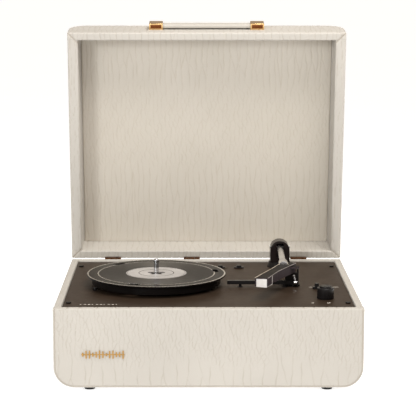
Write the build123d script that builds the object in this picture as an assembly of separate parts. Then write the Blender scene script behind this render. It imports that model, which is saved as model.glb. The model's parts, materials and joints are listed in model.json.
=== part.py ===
from build123d import *
import os
from math import cos, sin, radians, sqrt

os.makedirs("parts", exist_ok=True)

# Suitcase record player, millimetres.  +X is the player's right, +Y its back, +Z up.
# The origin is the middle of the whole object's footprint, on the table.

# ---- driving dimensions: case -------------------------------------------------------
CASE_WIDTH = 400.0
CASE_DEPTH = 340.0
BASE_HEIGHT = 104.4
FOOT_HEIGHT = 8.0
CASE_RADIUS = 27.0
BASE_BOARD = 10.0
EDGE_ROUND = 1.6
LID_HEIGHT = 59.4
LID_SIDE = 15.0
LID_END = 11.5
LID_BACK = 10.0
LID_INNER_RADIUS = 1.0
LINING = 2.0
LID_GAP = 0.6
LID_OPEN_ANGLE = 82.4
DECK_RECESS = 3.0
DECK_THICKNESS = 3.0
DECK_CLEARANCE = 0.4
BATTEN = 14.0
BATTEN_DRILLING = 9.0
DECK_SCREW_RADIUS = 1.5

# ---- driving dimensions: feet, magnets, emblem --------------------------------------
FOOT_X = 155.0
FOOT_INSET = 27.0
FOOT_RADII = (7.0, 9.0)
FOOT_SEAT_RADIUS = 3.6
FOOT_SEAT_DEPTH = 4.4
FOOT_SCREW = (3.2, 1.6)
FOOT_SCREW_HEAD = 1.8
FOOT_SCREW_BITE = 8.0
MAGNET_X = (-120.0, 120.0)
MAGNET_INSET = 5.5
MAGNET_RADIUS = 3.5
MAGNET_THICKNESS = 3.0
MAGNET_COVER = 1.0
EMBLEM_CENTRE = (-136.0, 44.0)
EMBLEM_SIZE = (56.0, 11.0)
EMBLEM_PROUD = 1.0
EMBLEM_BARS = 13
EMBLEM_BAR = 1.6
EMBLEM_RAIL = 1.0
EMBLEM_END = 2.0
EMBLEM_SHORTEST = 0.3
EMBLEM_WAVE = (15.0, 50.0)

# ---- driving dimensions: hinges and handle ------------------------------------------
HINGE_SETBACK = 0.2
KNUCKLE_RADIUS = 2.0
KNUCKLE_ROOM = 0.3
KNUCKLE_SPLIT = 4.0
KNUCKLE_SPACE = 0.2
HINGE_PIN_RADIUS = 0.8
HINGE_WIDTH = 24.0
HINGE_X = (-138.8, -21.4, 137.4)
LEAF = 1.0
LEAF_STANDOFF = 0.1
LEAF_REACH = 13.0
RIVET_X = (-7.5, 0.0, 7.5)
RIVET_DROP = 8.0
RIVET_RADIUS = 1.6
RIVET_PROUD = 0.7
HANDLE_LENGTH = 166.0
HANDLE_CAP = 19.6
HANDLE_PROUD = 9.0
HANDLE_WIDTH = 23.0
HANDLE_CENTRE = 34.0
CAP_ROUND = 0.8
CAP_WALL = 3.2
PEG_RADIUS = 1.4
PEG_LENGTH = 8.0
PEG_SPREAD = 8.0
STRAP_WIDTH = 19.0
STRAP_THICKNESS = 5.4
STRAP_GAP = 1.6
STRAP_PLAY = 0.8
STRAP_ROUND = 1.8
STRAP_ROOM = 0.3
STRAP_END_ROOM = 0.6

# ---- driving dimensions: deck (x, distance behind the front face, height over deck) --
DECK_SCREW_X = 183.0
DECK_SCREW_Y = (46.0, 294.0)
DECK_SCREW_HEAD = (3.4, 1.6)
DRIVE_SLOT = (0.8, 0.7)
RUNNING = 0.05
SCREW_CLEARANCE = 0.1

SPINDLE_PLACE = (-70.5, 167.0)
SPINDLE_RADIUS = 3.55
SPINDLE_TOP = 36.5
SPINDLE_DOME = 2.2
AXLE_RADIUS = 4.5
AXLE_SHOULDER = 0.3
AXLE_FLANGE = (14.0, 3.0)
AXLE_STUB = (5.0, 8.0)
PLATTER_RADIUS = 96.0
PLATTER_TOP = 16.5
PLATTER_PLATE = 3.5
PLATTER_FOOT = 4.0
PLATTER_CHAMFER = (1.5, 0.6, 1.8)
SKIRT_RADII = (86.9, 89.0)
BELT_RING_RADII = (69.0, 72.0)
HUB_RADIUS = 12.0
BUSHING_RADIUS = 6.2
BUSHING_FOOT = 3.8
OUTER_RING_RADII = (93.4, 95.4)
INNER_RING_RADII = (79.4, 81.0)
RING_DEPTH = 0.4
LABEL_RADIUS = 41.6
LABEL_DEPTH = 0.5
STAR_RADIUS = 7.4
STAR_LOBES = 5
LOBE_RADIUS = 3.6
LOBE_CIRCLE = 9.2
SLOT_ANGLES = (10.0, 130.0, 250.0)
SLOT_RADIUS = 83.0
SLOT_SIZE = (18.0, 7.0)

PULLEY_RADIUS = 4.0
PULLEY_FLANGE = 1.0
PULLEY_HEIGHTS = (5.4, 12.4)
PULLEY_RIM = 0.5
PULLEY_DISTANCE = 79.0
PULLEY_ANGLE = 130.0
PULLEY_OPENING = 6.5
BELT_GAP = 0.4
BELT_THICKNESS = 0.8
BELT_HEIGHTS = (6.5, 11.5)
MOTOR_RADIUS = 18.0
MOTOR_LENGTH = 26.0
SHAFT_RADIUS = 1.0
SHAFT_DEPTH = 13.0
MOTOR_SCREW_CIRCLE = 13.0
MOTOR_SCREW_ANGLES = (30.0, 150.0, 270.0)
MOTOR_SCREW = (2.4, 1.3)
MOTOR_SCREW_HEAD = 1.2
MOTOR_SCREW_BITE = 5.0

TRANSIT_PLACE = (-153.2, 128.6)
TRANSIT_HEAD = (3.2, 3.4)
TRANSIT_SLOT = (1.0, 1.2)
TRANSIT_SHANK = (1.6, 7.0)

ARM_PLACE = (106.9, 296.0)
ARM_HEIGHT = 29.5
TUBE_RADIUS = 4.15
TUBE_BORE = 3.4
TUBE_REAR = 303.0
TUBE_FRONT = 162.0
TUBE_ANGLE = 1.0
PEDESTAL_RADII = (18.0, 15.5)
PEDESTAL_HEIGHT = 8.0
PEDESTAL_STUB = (8.0, 10.0)
SWING_SHAFT = (4.0, 7.0)
TURRET_WIDTH = 28.0
TURRET_DEPTH = 24.0
TURRET_TOP = 39.6
TURRET_FOOT = 8.3
TURRET_ROUND = 1.5
TURRET_BACK_WALL = 3.0
TURRET_SLOT = 10.5
TURRET_SLOT_HEIGHTS = (17.0, 36.0)
PIVOT_RADIUS = 1.5
PIVOT_CAP = (2.4, 0.6)
COLLAR_RADIUS = 6.2
COLLAR_SPAN = (150.0, 173.0)
COLLAR_GROOVE = (0.8, 1.2)
COLLAR_GROOVE_BACK = 4.4
SHELL_HEIGHTS = (18.6, 31.0)
SHELL_OUTLINE = ((61.5, 60.5), (78.3, 56.5), (94.3, 104.0), (110.4, 138.0),
                 (121.8, 161.0), (118.0, 168.0), (103.0, 168.0), (87.8, 126.0))
SHELL_ANGLE = 22.0
SHELL_SCALLOP = (92.0, 1.2)
FINGER_LIFT_X = (108.0, 125.5)
FINGER_LIFT_BACK = (143.0, 153.0)
FINGER_LIFT_HEIGHTS = (27.0, 29.4)
CARTRIDGE_SIZE = (14.6, 24.0, 11.2)
CARTRIDGE_PLACE = (69.9, 58.5)
STYLUS_HOLDER = ((-2.2, 2.2), (3.0, 13.0), 0.7)
STYLUS_TIP = (0.5, 0.15)
STYLUS_TIP_BACK = 5.5
REST_X = (107.0, 122.0)
REST_BACK = (157.5, 164.5)
REST_CLEARANCE = 0.4
REST_FOOT = (3.0, 5.0, 2.4)
REST_LIP = (1.2, 2.4, 5.0)

CUE_BAR_X = (27.0, 116.0)
CUE_BAR_DEPTH = 6.0
CUE_BAR_HEIGHTS = (4.0, 9.0)
CUE_POST_X = (45.0, 106.0)
CUE_POST_RADIUS = 2.0
CUE_POST_DEPTH = 20.0
CUE_BUSH_RADIUS = 4.0
CUE_BUSH_PROUD = 0.6
CUE_HOUSING = (6.0, 12.0)
CUE_AXIS = (120.8, 151.0, 5.6)
CUE_AXLE_RADIUS = 1.2
CUE_EAR_X = (2.3, 3.9)
CUE_EAR_DEPTH = 5.2
CUE_EAR_RISE = 2.4
CUE_HUB = (2.6, 2.0)
CUE_STEM = (1.5, 9.6)
CUE_STEM_CENTRE = 5.2
CUE_KNOB = (1.9, 10.2)
CUE_LEAN = 14.0
CUE_OPENING_ROOM = 0.3

VOLUME_PLACE = (155.7, 75.0)
VOLUME_RADIUS = 11.25
VOLUME_HEIGHTS = (0.6, 15.0)
VOLUME_CAP = (8.0, 2.4)
VOLUME_ROUNDS = (1.0, 0.8)
VOLUME_SHAFT = (2.0, 7.0)
VOLUME_POT = (18.0, 9.0)
VOLUME_BUSH = 3.6
SPEED_PLACE = (20.0, 283.0)
SPEED_TRAVEL = 8.0
AUTOSTOP_PLACE = (47.0, 283.0)
AUTOSTOP_TRAVEL = 5.0
FUNCTION_PLACE = (149.0, 137.0)
FUNCTION_TRAVEL = 16.0
REAR_SLIDER = (14.0, 7.0, 4.5)
FUNCTION_SLIDER = (11.0, 7.0, 8.0)
SLIDER_LIFT = 0.4
SLIDER_STEP = 0.45
SLIDER_STEM = (4.0, 2.4, 4.0)
SLIDER_ROOM = 0.6
SWITCH_BODY = (6.0, 5.0, 8.0)
SWITCH_HOLLOW = 5.0

# ---- driving dimensions: rear connectors, speakers, amplifier --------------------------
CONNECTOR_PLACE = (100.0, 55.0)
PLATE_SIZE = (84.0, 36.0)
PLATE_THICKNESS = 2.0
BOARD_HOLE_ROOM = 0.4
SOCKET_FLANGE = 1.5
RCA_X = (-28.0, -10.0)
RCA_RADIUS = 4.15
RCA_FLANGE = 5.6
RCA_LENGTH = 8.5
RCA_BODY = (3.2, 8.0)
RCA_SOCKET = (1.65, 9.0)
AUX_X = 10.0
AUX_FLANGE = 4.5
AUX_BODY = (3.0, 14.0)
AUX_BORE = (1.8, 13.0)
DC_X = 28.0
DC_FLANGE = 5.5
DC_BODY = (4.0, 12.0)
DC_BORE = (2.8, 9.0)
DC_PIN = (1.0, 1.0)

SPEAKER_BACK = 95.0
SPEAKER_Z = 63.7
SPEAKER_HOLE = 23.5
SPEAKER_SCREW_CIRCLE = 26.0
SPEAKER_SCREW_ANGLES = (45.0, 135.0, 225.0, 315.0)
SPEAKER_SCREW = (1.7, 1.4)
SPEAKER_SCREW_HEAD = 1.6
SPEAKER_SCREW_BITE = 6.0
FLANGE_RADIUS = 28.4
FLANGE = 2.0
BASKET_DEPTH = 22.0
BASKET_RADIUS = 15.0
BASKET_WALL = 1.5
BASKET_BACK = 2.0
SPEAKER_MAGNET = (20.0, 10.0)
CONE_RADII = (8.0, 22.5)
CONE_INSETS = (4.0, 1.0)
CONE_WALL = 0.8
GRILLE_SIZE = (84.0, 56.0)
GRILLE_THICKNESS = 2.0
GRILLE_PITCH = 3.8
GRILLE_SLOT = 1.8
GRILLE_SLOTS = 6
GRILLE_MARGIN = 1.5
GRILLE_END_SLOT = 4.0

BOARD_X = (40.0, 140.0)
BOARD_BEHIND = (90.0, 28.0)
BOARD_LIFT = 6.0
BOARD_THICKNESS = 1.6
STANDOFF_INSET = 5.0
STANDOFF_RADIUS = 3.0
CAPACITOR = (5.0, 16.0)
CAPACITOR_START = (15.0, 15.0)
CAPACITOR_PITCH = 14.0
CAPACITORS = 3
HEAT_SINK = ((62.0, 90.0), (12.0, 26.0), 24.0)
FIN_SLOTS = 4
FIN_PITCH = 6.4
FIN_SLOT = (3.0, 2.8)
FIN_FLOOR = 3.0
CHIP = ((20.0, 36.0), (36.0, 46.0), 3.0)
TRANSFORMER = ((50.0, 74.0), (38.0, 54.0), 12.0)

# ---- worked out ---------------------------------------------------------------------
LID_REACH = (LID_HEIGHT + LID_GAP / 2) * sin(radians(LID_OPEN_ANGLE))
LID_BACK_Y = HINGE_SETBACK - HINGE_SETBACK * cos(radians(LID_OPEN_ANGLE)) + LID_REACH
Y_FRONT = -(CASE_DEPTH + LID_BACK_Y - EMBLEM_PROUD) / 2
Y_REAR = Y_FRONT + CASE_DEPTH
BASE_TOP = FOOT_HEIGHT + BASE_HEIGHT
DECK_TOP = BASE_TOP - DECK_RECESS
DECK_BOTTOM = DECK_TOP - DECK_THICKNESS
HINGE_Y = Y_REAR + HINGE_SETBACK
HINGE_Z = BASE_TOP + LID_GAP / 2
LID_RIM = BASE_TOP + LID_GAP
LID_TOP = LID_RIM + LID_HEIGHT
HALF = CASE_WIDTH / 2
INNER_HALF = HALF - BASE_BOARD
FLOOR = FOOT_HEIGHT + BASE_BOARD
SIDES = (-1, 1)
MAGNET_Y = Y_FRONT + MAGNET_INSET
SPEAKER_Y = Y_FRONT + SPEAKER_BACK
ARM_X, ARM_BACK = ARM_PLACE
ARM_Y = Y_FRONT + ARM_BACK
ARM_Z = DECK_TOP + ARM_HEIGHT
CUE_X, CUE_BACK, CUE_HEIGHT = CUE_AXIS
CONNECTOR_X, CONNECTOR_Z = CONNECTOR_PLACE
UNDER_PLATE = PLATTER_TOP - PLATTER_PLATE
THROUGH_DECK = (-DECK_THICKNESS - 1, 1)
BOARD_Y = (Y_REAR - BOARD_BEHIND[0], Y_REAR - BOARD_BEHIND[1])
BOARD_Z = (FLOOR + BOARD_LIFT, FLOOR + BOARD_LIFT + BOARD_THICKNESS)
HANDLE_Z = LID_RIM + HANDLE_CENTRE
PULLEY_PLACE = (SPINDLE_PLACE[0] + PULLEY_DISTANCE * cos(radians(PULLEY_ANGLE)),
                SPINDLE_PLACE[1] + PULLEY_DISTANCE * sin(radians(PULLEY_ANGLE)))
SLIDERS = ((SPEED_PLACE, SPEED_TRAVEL), (AUTOSTOP_PLACE, AUTOSTOP_TRAVEL),
           (FUNCTION_PLACE, FUNCTION_TRAVEL))
FEET = [(x, y) for x in (-FOOT_X, FOOT_X) for y in (Y_FRONT + FOOT_INSET, Y_REAR - FOOT_INSET)]
HANDLE_PEGS = [(side * (HANDLE_LENGTH - HANDLE_CAP) / 2, HANDLE_Z + rise) for side in SIDES
               for rise in (-PEG_SPREAD, PEG_SPREAD)]


# ---- helpers ------------------------------------------------------------------------
def box(x, y, z):
    """Box from three (low, high) pairs."""
    size = (x[1] - x[0], y[1] - y[0], z[1] - z[0])
    centre = ((x[0] + x[1]) / 2, (y[0] + y[1]) / 2, (z[0] + z[1]) / 2)
    return Pos(*centre) * Box(*size)


def about(centre, size):
    """(low, high) pair of a given size about a centre."""
    return centre - size / 2, centre + size / 2


def post(x, y, z, radius):
    """Upright cylinder over the (low, high) pair z."""
    return Pos(x, y, (z[0] + z[1]) / 2) * Cylinder(radius, z[1] - z[0])


def rod_x(x, y, z, radius):
    """Cylinder along X over the (low, high) pair x."""
    return Pos((x[0] + x[1]) / 2, y, z) * Rot(0, 90, 0) * Cylinder(radius, x[1] - x[0])


def rod_y(x, y, z, radius):
    """Cylinder along Y over the (low, high) pair y."""
    return Pos(x, (y[0] + y[1]) / 2, z) * Rot(90, 0, 0) * Cylinder(radius, y[1] - y[0])


def on_deck(x, back, height=0.0):
    """Point over the deck: x, distance behind the front face, height above the deck."""
    return x, Y_FRONT + back, DECK_TOP + height


def deck_post(place, heights, radius):
    """Upright cylinder at a deck place, between two heights above the deck."""
    x, y, _ = on_deck(*place)
    return post(x, y, (DECK_TOP + heights[0], DECK_TOP + heights[1]), radius)


def deck_box(x, back, heights):
    """Box given by x, distances behind the front face and heights above the deck."""
    return box(x, (Y_FRONT + back[0], Y_FRONT + back[1]),
               (DECK_TOP + heights[0], DECK_TOP + heights[1]))


def deck_outline(points, heights):
    """Prism over a plan outline of (x, distance behind the front face) points."""
    plan = Polyline(*[(x, Y_FRONT + back) for x, back in points], close=True)
    return Pos(0, 0, DECK_TOP + heights[0]) * extrude(make_face(plan), heights[1] - heights[0])


def under_deck(depth):
    """Heights from a depth below the deck's underside up to the underside."""
    return -DECK_THICKNESS - depth, -DECK_THICKNESS


def wall_span(side, near, far):
    """(low, high) pair in X between two distances from the middle on one side."""
    return (near, far) if side > 0 else (-far, -near)


def group(solids):
    """Several separate solids as one node."""
    return Compound(children=[s if isinstance(s, Solid) else s.solids()[0] for s in solids])


def opened(shape):
    """A lid piece drawn closed, swung up to its stop solid by solid."""
    hinge = Axis((0, HINGE_Y, HINGE_Z), (1, 0, 0))
    return group([solid.rotate(hinge, -LID_OPEN_ANGLE) for solid in shape.solids()])


def case_profile(low, high, radius, at_top, inset=0.0):
    """Face in XZ with two rounded corners, either the lower or the upper pair."""
    half = HALF - inset
    face = make_face(Polyline((-half, low), (half, low), (half, high), (-half, high), close=True))
    level = high if at_top else low
    corners = [v for v in face.vertices() if abs(v.Y - level) < 0.01]
    return fillet(corners, radius)


def slab(face, y):
    """Extrude an XZ face over the (low, high) pair y."""
    turned = Rot(90, 0, 0) * face
    return Pos(0, y[1], 0) * extrude(turned, y[1] - y[0], dir=(0, -1, 0))


def end_board(profile, y, outward):
    """End board of the case, with the rim of its outer face rounded."""
    board = slab(profile, y)
    outer = board.faces().sort_by(Axis.Y)[0 if outward < 0 else -1]
    return fillet(outer.edges(), EDGE_ROUND)


def knuckle_grooves(board):
    """A rear board with room cut in its edge for the hinge knuckles."""
    for x in HINGE_X:
        span = about(x, HINGE_WIDTH + 2 * KNUCKLE_ROOM)
        board -= rod_x(span, HINGE_Y, HINGE_Z, KNUCKLE_RADIUS + KNUCKLE_ROOM)
    return board


# ---- case base ----------------------------------------------------------------------
def speaker_screw_points():
    """(y, z) of each screw round a speaker."""
    return [(SPEAKER_Y + SPEAKER_SCREW_CIRCLE * cos(radians(a)),
             SPEAKER_Z + SPEAKER_SCREW_CIRCLE * sin(radians(a))) for a in SPEAKER_SCREW_ANGLES]


def grille_blank(side):
    return box(wall_span(side, HALF - GRILLE_THICKNESS, HALF), about(SPEAKER_Y, GRILLE_SIZE[0]),
               about(SPEAKER_Z, GRILLE_SIZE[1]))


def make_case_wrap():
    outer = case_profile(FOOT_HEIGHT, BASE_TOP, CASE_RADIUS, at_top=False)
    inner = case_profile(FLOOR, BASE_TOP + 1, CASE_RADIUS - BASE_BOARD, at_top=False, inset=BASE_BOARD)
    wrap = slab(outer - inner, (Y_FRONT + BASE_BOARD, Y_REAR - BASE_BOARD))
    for side in SIDES:
        wrap -= rod_x(wall_span(side, INNER_HALF - 1, HALF + 1), SPEAKER_Y, SPEAKER_Z, SPEAKER_HOLE)
        wrap -= grille_blank(side)
        for y, z in speaker_screw_points():
            bite = wall_span(side, INNER_HALF, INNER_HALF + SPEAKER_SCREW_BITE)
            wrap -= rod_x(bite, y, z, SPEAKER_SCREW[1])
    for x, y in FEET:
        wrap -= post(x, y, (FOOT_HEIGHT, FOOT_HEIGHT + FOOT_SCREW_BITE), FOOT_SCREW[1])
    return wrap


def base_magnet_heights():
    return BASE_TOP - MAGNET_COVER - MAGNET_THICKNESS, BASE_TOP - MAGNET_COVER


def lid_magnet_heights():
    return LID_RIM + MAGNET_COVER, LID_RIM + MAGNET_COVER + MAGNET_THICKNESS


def magnet_pair(heights):
    """Two closure magnets, hidden under the covering of a front rim."""
    return [post(x, MAGNET_Y, heights, MAGNET_RADIUS) for x in MAGNET_X]


def make_front_board():
    profile = case_profile(FOOT_HEIGHT, BASE_TOP, CASE_RADIUS, at_top=False)
    board = end_board(profile, (Y_FRONT, Y_FRONT + BASE_BOARD), -1)
    for magnet in magnet_pair(base_magnet_heights()):
        board -= magnet
    return board


def plate_blank():
    """Block of the connector plate, let into the rear board."""
    return box(about(CONNECTOR_X, PLATE_SIZE[0]), (Y_REAR - PLATE_THICKNESS, Y_REAR),
               about(CONNECTOR_Z, PLATE_SIZE[1]))


def socket_bodies():
    """(x, body radius) of each socket on the connector plate."""
    sockets = [(CONNECTOR_X + offset, RCA_BODY[0]) for offset in RCA_X]
    return sockets + [(CONNECTOR_X + AUX_X, AUX_BODY[0]), (CONNECTOR_X + DC_X, DC_BODY[0])]


def make_rear_board():
    profile = case_profile(FOOT_HEIGHT, BASE_TOP, CASE_RADIUS, at_top=False)
    board = end_board(profile, (Y_REAR - BASE_BOARD, Y_REAR), 1)
    board -= plate_blank()
    for x, radius in socket_bodies():
        board -= rod_y(x, (Y_REAR - BASE_BOARD - 1, Y_REAR), CONNECTOR_Z, radius + BOARD_HOLE_ROOM)
    return knuckle_grooves(board)


def make_battens():
    rails = []
    for side in SIDES:
        rail = box(wall_span(side, INNER_HALF - BATTEN, INNER_HALF),
                   (Y_FRONT + BASE_BOARD, Y_REAR - BASE_BOARD), (DECK_BOTTOM - BATTEN, DECK_BOTTOM))
        for back in DECK_SCREW_Y:
            rail -= deck_post((side * DECK_SCREW_X, back), under_deck(BATTEN_DRILLING), DECK_SCREW_RADIUS)
        rails.append(rail)
    return group(rails)


def make_feet():
    feet = []
    for x, y in FEET:
        foot = Pos(x, y, FOOT_HEIGHT / 2) * Cone(FOOT_RADII[0], FOOT_RADII[1], FOOT_HEIGHT)
        foot -= post(x, y, (-1, FOOT_SEAT_DEPTH), FOOT_SEAT_RADIUS)
        foot -= post(x, y, (0, FOOT_HEIGHT + 1), FOOT_SCREW[1])
        feet.append(foot)
    return group(feet)


def make_foot_screws():
    screws = []
    for x, y in FEET:
        head = post(x, y, (FOOT_SEAT_DEPTH - FOOT_SCREW_HEAD, FOOT_SEAT_DEPTH), FOOT_SCREW[0])
        screws.append(head + post(x, y, (FOOT_SEAT_DEPTH, FOOT_HEIGHT + FOOT_SCREW_BITE), FOOT_SCREW[1]))
    return group(screws)


def make_base_magnets():
    return group(magnet_pair(base_magnet_heights()))


# ---- deck ---------------------------------------------------------------------------
def deck_screw_places():
    return [(side * DECK_SCREW_X, back) for side in SIDES for back in DECK_SCREW_Y]


def motor_screw_places():
    """Three screws on a circle about the motor's shaft."""
    x, back = PULLEY_PLACE
    return [(x + MOTOR_SCREW_CIRCLE * cos(radians(a)), back + MOTOR_SCREW_CIRCLE * sin(radians(a)))
            for a in MOTOR_SCREW_ANGLES]


def slider_opening(place, travel, heights):
    """Room for a slide switch's stem and its travel to the right."""
    x, back = place
    half = SLIDER_STEM[0] / 2 + SLIDER_ROOM
    return deck_box((x - half, x + travel + half), about(back, SLIDER_STEM[1] + 2 * SLIDER_ROOM), heights)


def lever_opening(room, heights):
    """Block about the cue lever's ears, grown by the given room."""
    return deck_box(about(CUE_X, 2 * (CUE_EAR_X[1] + room)), about(CUE_BACK, CUE_EAR_DEPTH + 2 * room),
                    heights)


def make_deck_plate():
    plate = box(about(0, 2 * (INNER_HALF - DECK_CLEARANCE)),
                (Y_FRONT + BASE_BOARD + DECK_CLEARANCE, Y_REAR - BASE_BOARD - DECK_CLEARANCE),
                (DECK_BOTTOM, DECK_TOP))
    holes = [(SPINDLE_PLACE, AXLE_STUB[0]), (PULLEY_PLACE, PULLEY_OPENING), (ARM_PLACE, PEDESTAL_STUB[0]),
             (VOLUME_PLACE, VOLUME_BUSH), (TRANSIT_PLACE, TRANSIT_SHANK[0])]
    holes += [((x, CUE_BACK), CUE_BUSH_RADIUS) for x in CUE_POST_X]
    holes += [(place, DECK_SCREW_RADIUS + SCREW_CLEARANCE) for place in deck_screw_places()]
    holes += [(place, MOTOR_SCREW[1]) for place in motor_screw_places()]
    for place, radius in holes:
        plate -= deck_post(place, THROUGH_DECK, radius)
    for place, travel in SLIDERS:
        plate -= slider_opening(place, travel, THROUGH_DECK)
    return plate - lever_opening(CUE_OPENING_ROOM, THROUGH_DECK)


def slotted_head(place, radius, height, slot):
    """Screw head standing on the deck with a screwdriver slot across it."""
    x, back = place
    width, depth = slot
    groove = deck_box((x - radius - 1, x + radius + 1), about(back, width), (height - depth, height + 1))
    return deck_post(place, (0, height), radius) - groove


def make_deck_screws():
    radius, height = DECK_SCREW_HEAD
    return group([slotted_head(place, radius, height, DRIVE_SLOT)
                  + deck_post(place, (-DECK_THICKNESS - BATTEN_DRILLING, 0), DECK_SCREW_RADIUS)
                  for place in deck_screw_places()])


def make_emblem():
    """Generic sound-wave mark: a thin rail carrying bars of smoothly changing height."""
    x0 = EMBLEM_CENTRE[0]
    z0 = FOOT_HEIGHT + EMBLEM_CENTRE[1]
    length, height = EMBLEM_SIZE
    y = (Y_FRONT - EMBLEM_PROUD, Y_FRONT)
    mark = box(about(x0, length), y, about(z0, EMBLEM_RAIL))
    pitch = (length - 2 * EMBLEM_END) / (EMBLEM_BARS - 1)
    for i in range(EMBLEM_BARS):
        wave = abs(sin(radians(EMBLEM_WAVE[0] + EMBLEM_WAVE[1] * i)))
        share = EMBLEM_SHORTEST + (1 - EMBLEM_SHORTEST) * wave
        x = x0 + (i - (EMBLEM_BARS - 1) / 2) * pitch
        mark += box(about(x, EMBLEM_BAR), y, about(z0, height * share))
    return mark


# ---- rear connectors ----------------------------------------------------------------
def make_connector_plate():
    plate = plate_blank()
    for x, radius in socket_bodies():
        plate -= rod_y(x, (Y_REAR - PLATE_THICKNESS - 1, Y_REAR + 1), CONNECTOR_Z, radius)
    return plate


def socket_shell(x, flange_radius, body):
    """Flange against the plate with a round body through it."""
    radius, depth = body
    flange = rod_y(x, (Y_REAR, Y_REAR + SOCKET_FLANGE), CONNECTOR_Z, flange_radius)
    return flange + rod_y(x, (Y_REAR - depth, Y_REAR), CONNECTOR_Z, radius)


def make_rca_jacks():
    jacks = []
    mouth = Y_REAR + SOCKET_FLANGE + RCA_LENGTH
    for offset in RCA_X:
        x = CONNECTOR_X + offset
        jack = socket_shell(x, RCA_FLANGE, RCA_BODY)
        jack += rod_y(x, (Y_REAR + SOCKET_FLANGE, mouth), CONNECTOR_Z, RCA_RADIUS)
        jack -= rod_y(x, (mouth - RCA_SOCKET[1], mouth + 1), CONNECTOR_Z, RCA_SOCKET[0])
        jacks.append(jack)
    return group(jacks)


def make_aux_jack():
    x = CONNECTOR_X + AUX_X
    radius, depth = AUX_BORE
    bore = rod_y(x, (Y_REAR - depth, Y_REAR + SOCKET_FLANGE + 1), CONNECTOR_Z, radius)
    return socket_shell(x, AUX_FLANGE, AUX_BODY) - bore


def make_dc_inlet():
    x = CONNECTOR_X + DC_X
    radius, depth = DC_BORE
    pin_radius, pin_inset = DC_PIN
    inlet = socket_shell(x, DC_FLANGE, DC_BODY)
    inlet -= rod_y(x, (Y_REAR - depth, Y_REAR + SOCKET_FLANGE + 1), CONNECTOR_Z, radius)
    return inlet + rod_y(x, (Y_REAR - DC_BODY[1] + 1, Y_REAR - pin_inset), CONNECTOR_Z, pin_radius)


# ---- speakers -----------------------------------------------------------------------
def make_grilles():
    reach = SPEAKER_HOLE - GRILLE_MARGIN
    grilles = []
    for side in SIDES:
        grille = grille_blank(side)
        for step in range(-GRILLE_SLOTS, GRILLE_SLOTS + 1):
            across_y = GRILLE_PITCH * step
            half = sqrt(reach ** 2 - across_y ** 2) if abs(across_y) < reach else GRILLE_END_SLOT
            grille -= box(wall_span(side, HALF - GRILLE_THICKNESS - 1, HALF + 1),
                          about(SPEAKER_Y + across_y, GRILLE_SLOT), about(SPEAKER_Z, 2 * half))
        grilles.append(grille)
    return group(grilles)


def across(side, near, far, radius_near, radius_far):
    """Cone frustum along X between two distances from the middle."""
    low, high = (radius_near, radius_far) if side > 0 else (radius_far, radius_near)
    return Pos(side * (near + far) / 2, SPEAKER_Y, SPEAKER_Z) * Rot(0, 90, 0) * Cone(low, high, far - near)


def make_speaker_frames():
    face = INNER_HALF - FLANGE
    back = INNER_HALF - BASKET_DEPTH
    frames = []
    for side in SIDES:
        frame = rod_x(wall_span(side, face, INNER_HALF), SPEAKER_Y, SPEAKER_Z, FLANGE_RADIUS)
        frame += across(side, back, face, BASKET_RADIUS, SPEAKER_HOLE + BASKET_WALL / 2)
        frame -= across(side, back + BASKET_BACK, face, BASKET_RADIUS - BASKET_WALL, SPEAKER_HOLE)
        frame -= rod_x(wall_span(side, face, INNER_HALF), SPEAKER_Y, SPEAKER_Z, SPEAKER_HOLE)
        for y, z in speaker_screw_points():
            frame -= rod_x(wall_span(side, face - 1, INNER_HALF + 1), y, z, SPEAKER_SCREW[1])
        frames.append(frame)
    return group(frames)


def make_speaker_cones():
    near = INNER_HALF - BASKET_DEPTH + CONE_INSETS[0]
    far = INNER_HALF - CONE_INSETS[1]
    neck, mouth = CONE_RADII
    return group([across(side, near, far, neck, mouth)
                  - across(side, near + CONE_WALL, far, neck - CONE_WALL, mouth - CONE_WALL)
                  for side in SIDES])


def make_speaker_magnets():
    radius, length = SPEAKER_MAGNET
    back = INNER_HALF - BASKET_DEPTH
    return group([rod_x(wall_span(side, back - length, back), SPEAKER_Y, SPEAKER_Z, radius)
                  for side in SIDES])


def make_speaker_screws():
    face = INNER_HALF - FLANGE
    head_radius, core = SPEAKER_SCREW
    screws = []
    for side in SIDES:
        for y, z in speaker_screw_points():
            head = rod_x(wall_span(side, face - SPEAKER_SCREW_HEAD, face), y, z, head_radius)
            shank = wall_span(side, face, INNER_HALF + SPEAKER_SCREW_BITE)
            screws.append(head + rod_x(shank, y, z, core))
    return group(screws)


# ---- amplifier ----------------------------------------------------------------------
def make_amplifier_board():
    return box(BOARD_X, BOARD_Y, BOARD_Z)


def make_standoffs():
    places = [(x, y) for x in (BOARD_X[0] + STANDOFF_INSET, BOARD_X[1] - STANDOFF_INSET)
              for y in (BOARD_Y[0] + STANDOFF_INSET, BOARD_Y[1] - STANDOFF_INSET)]
    return group([post(x, y, (FLOOR, BOARD_Z[0]), STANDOFF_RADIUS) for x, y in places])


def on_board(block):
    """Block from (x pair, y pair, height) counted from the circuit board's corner."""
    x, y, height = block
    return box((BOARD_X[0] + x[0], BOARD_X[0] + x[1]), (BOARD_Y[0] + y[0], BOARD_Y[0] + y[1]),
               (BOARD_Z[1], BOARD_Z[1] + height))


def make_heat_sink():
    """Finned block: slots cut down towards a solid floor."""
    sink = on_board(HEAT_SINK)
    x_low = BOARD_X[0] + HEAT_SINK[0][0] + FIN_SLOT[0]
    y_low = BOARD_Y[0] + HEAT_SINK[1][0] + FIN_SLOT[0]
    for i in range(FIN_SLOTS):
        x = x_low + FIN_PITCH * i
        sink -= box((x, x + FIN_SLOT[1]), (y_low, BOARD_Y[0] + HEAT_SINK[1][1] + 1),
                    (BOARD_Z[1] + FIN_FLOOR, BOARD_Z[1] + HEAT_SINK[2] + 1))
    return sink


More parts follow.
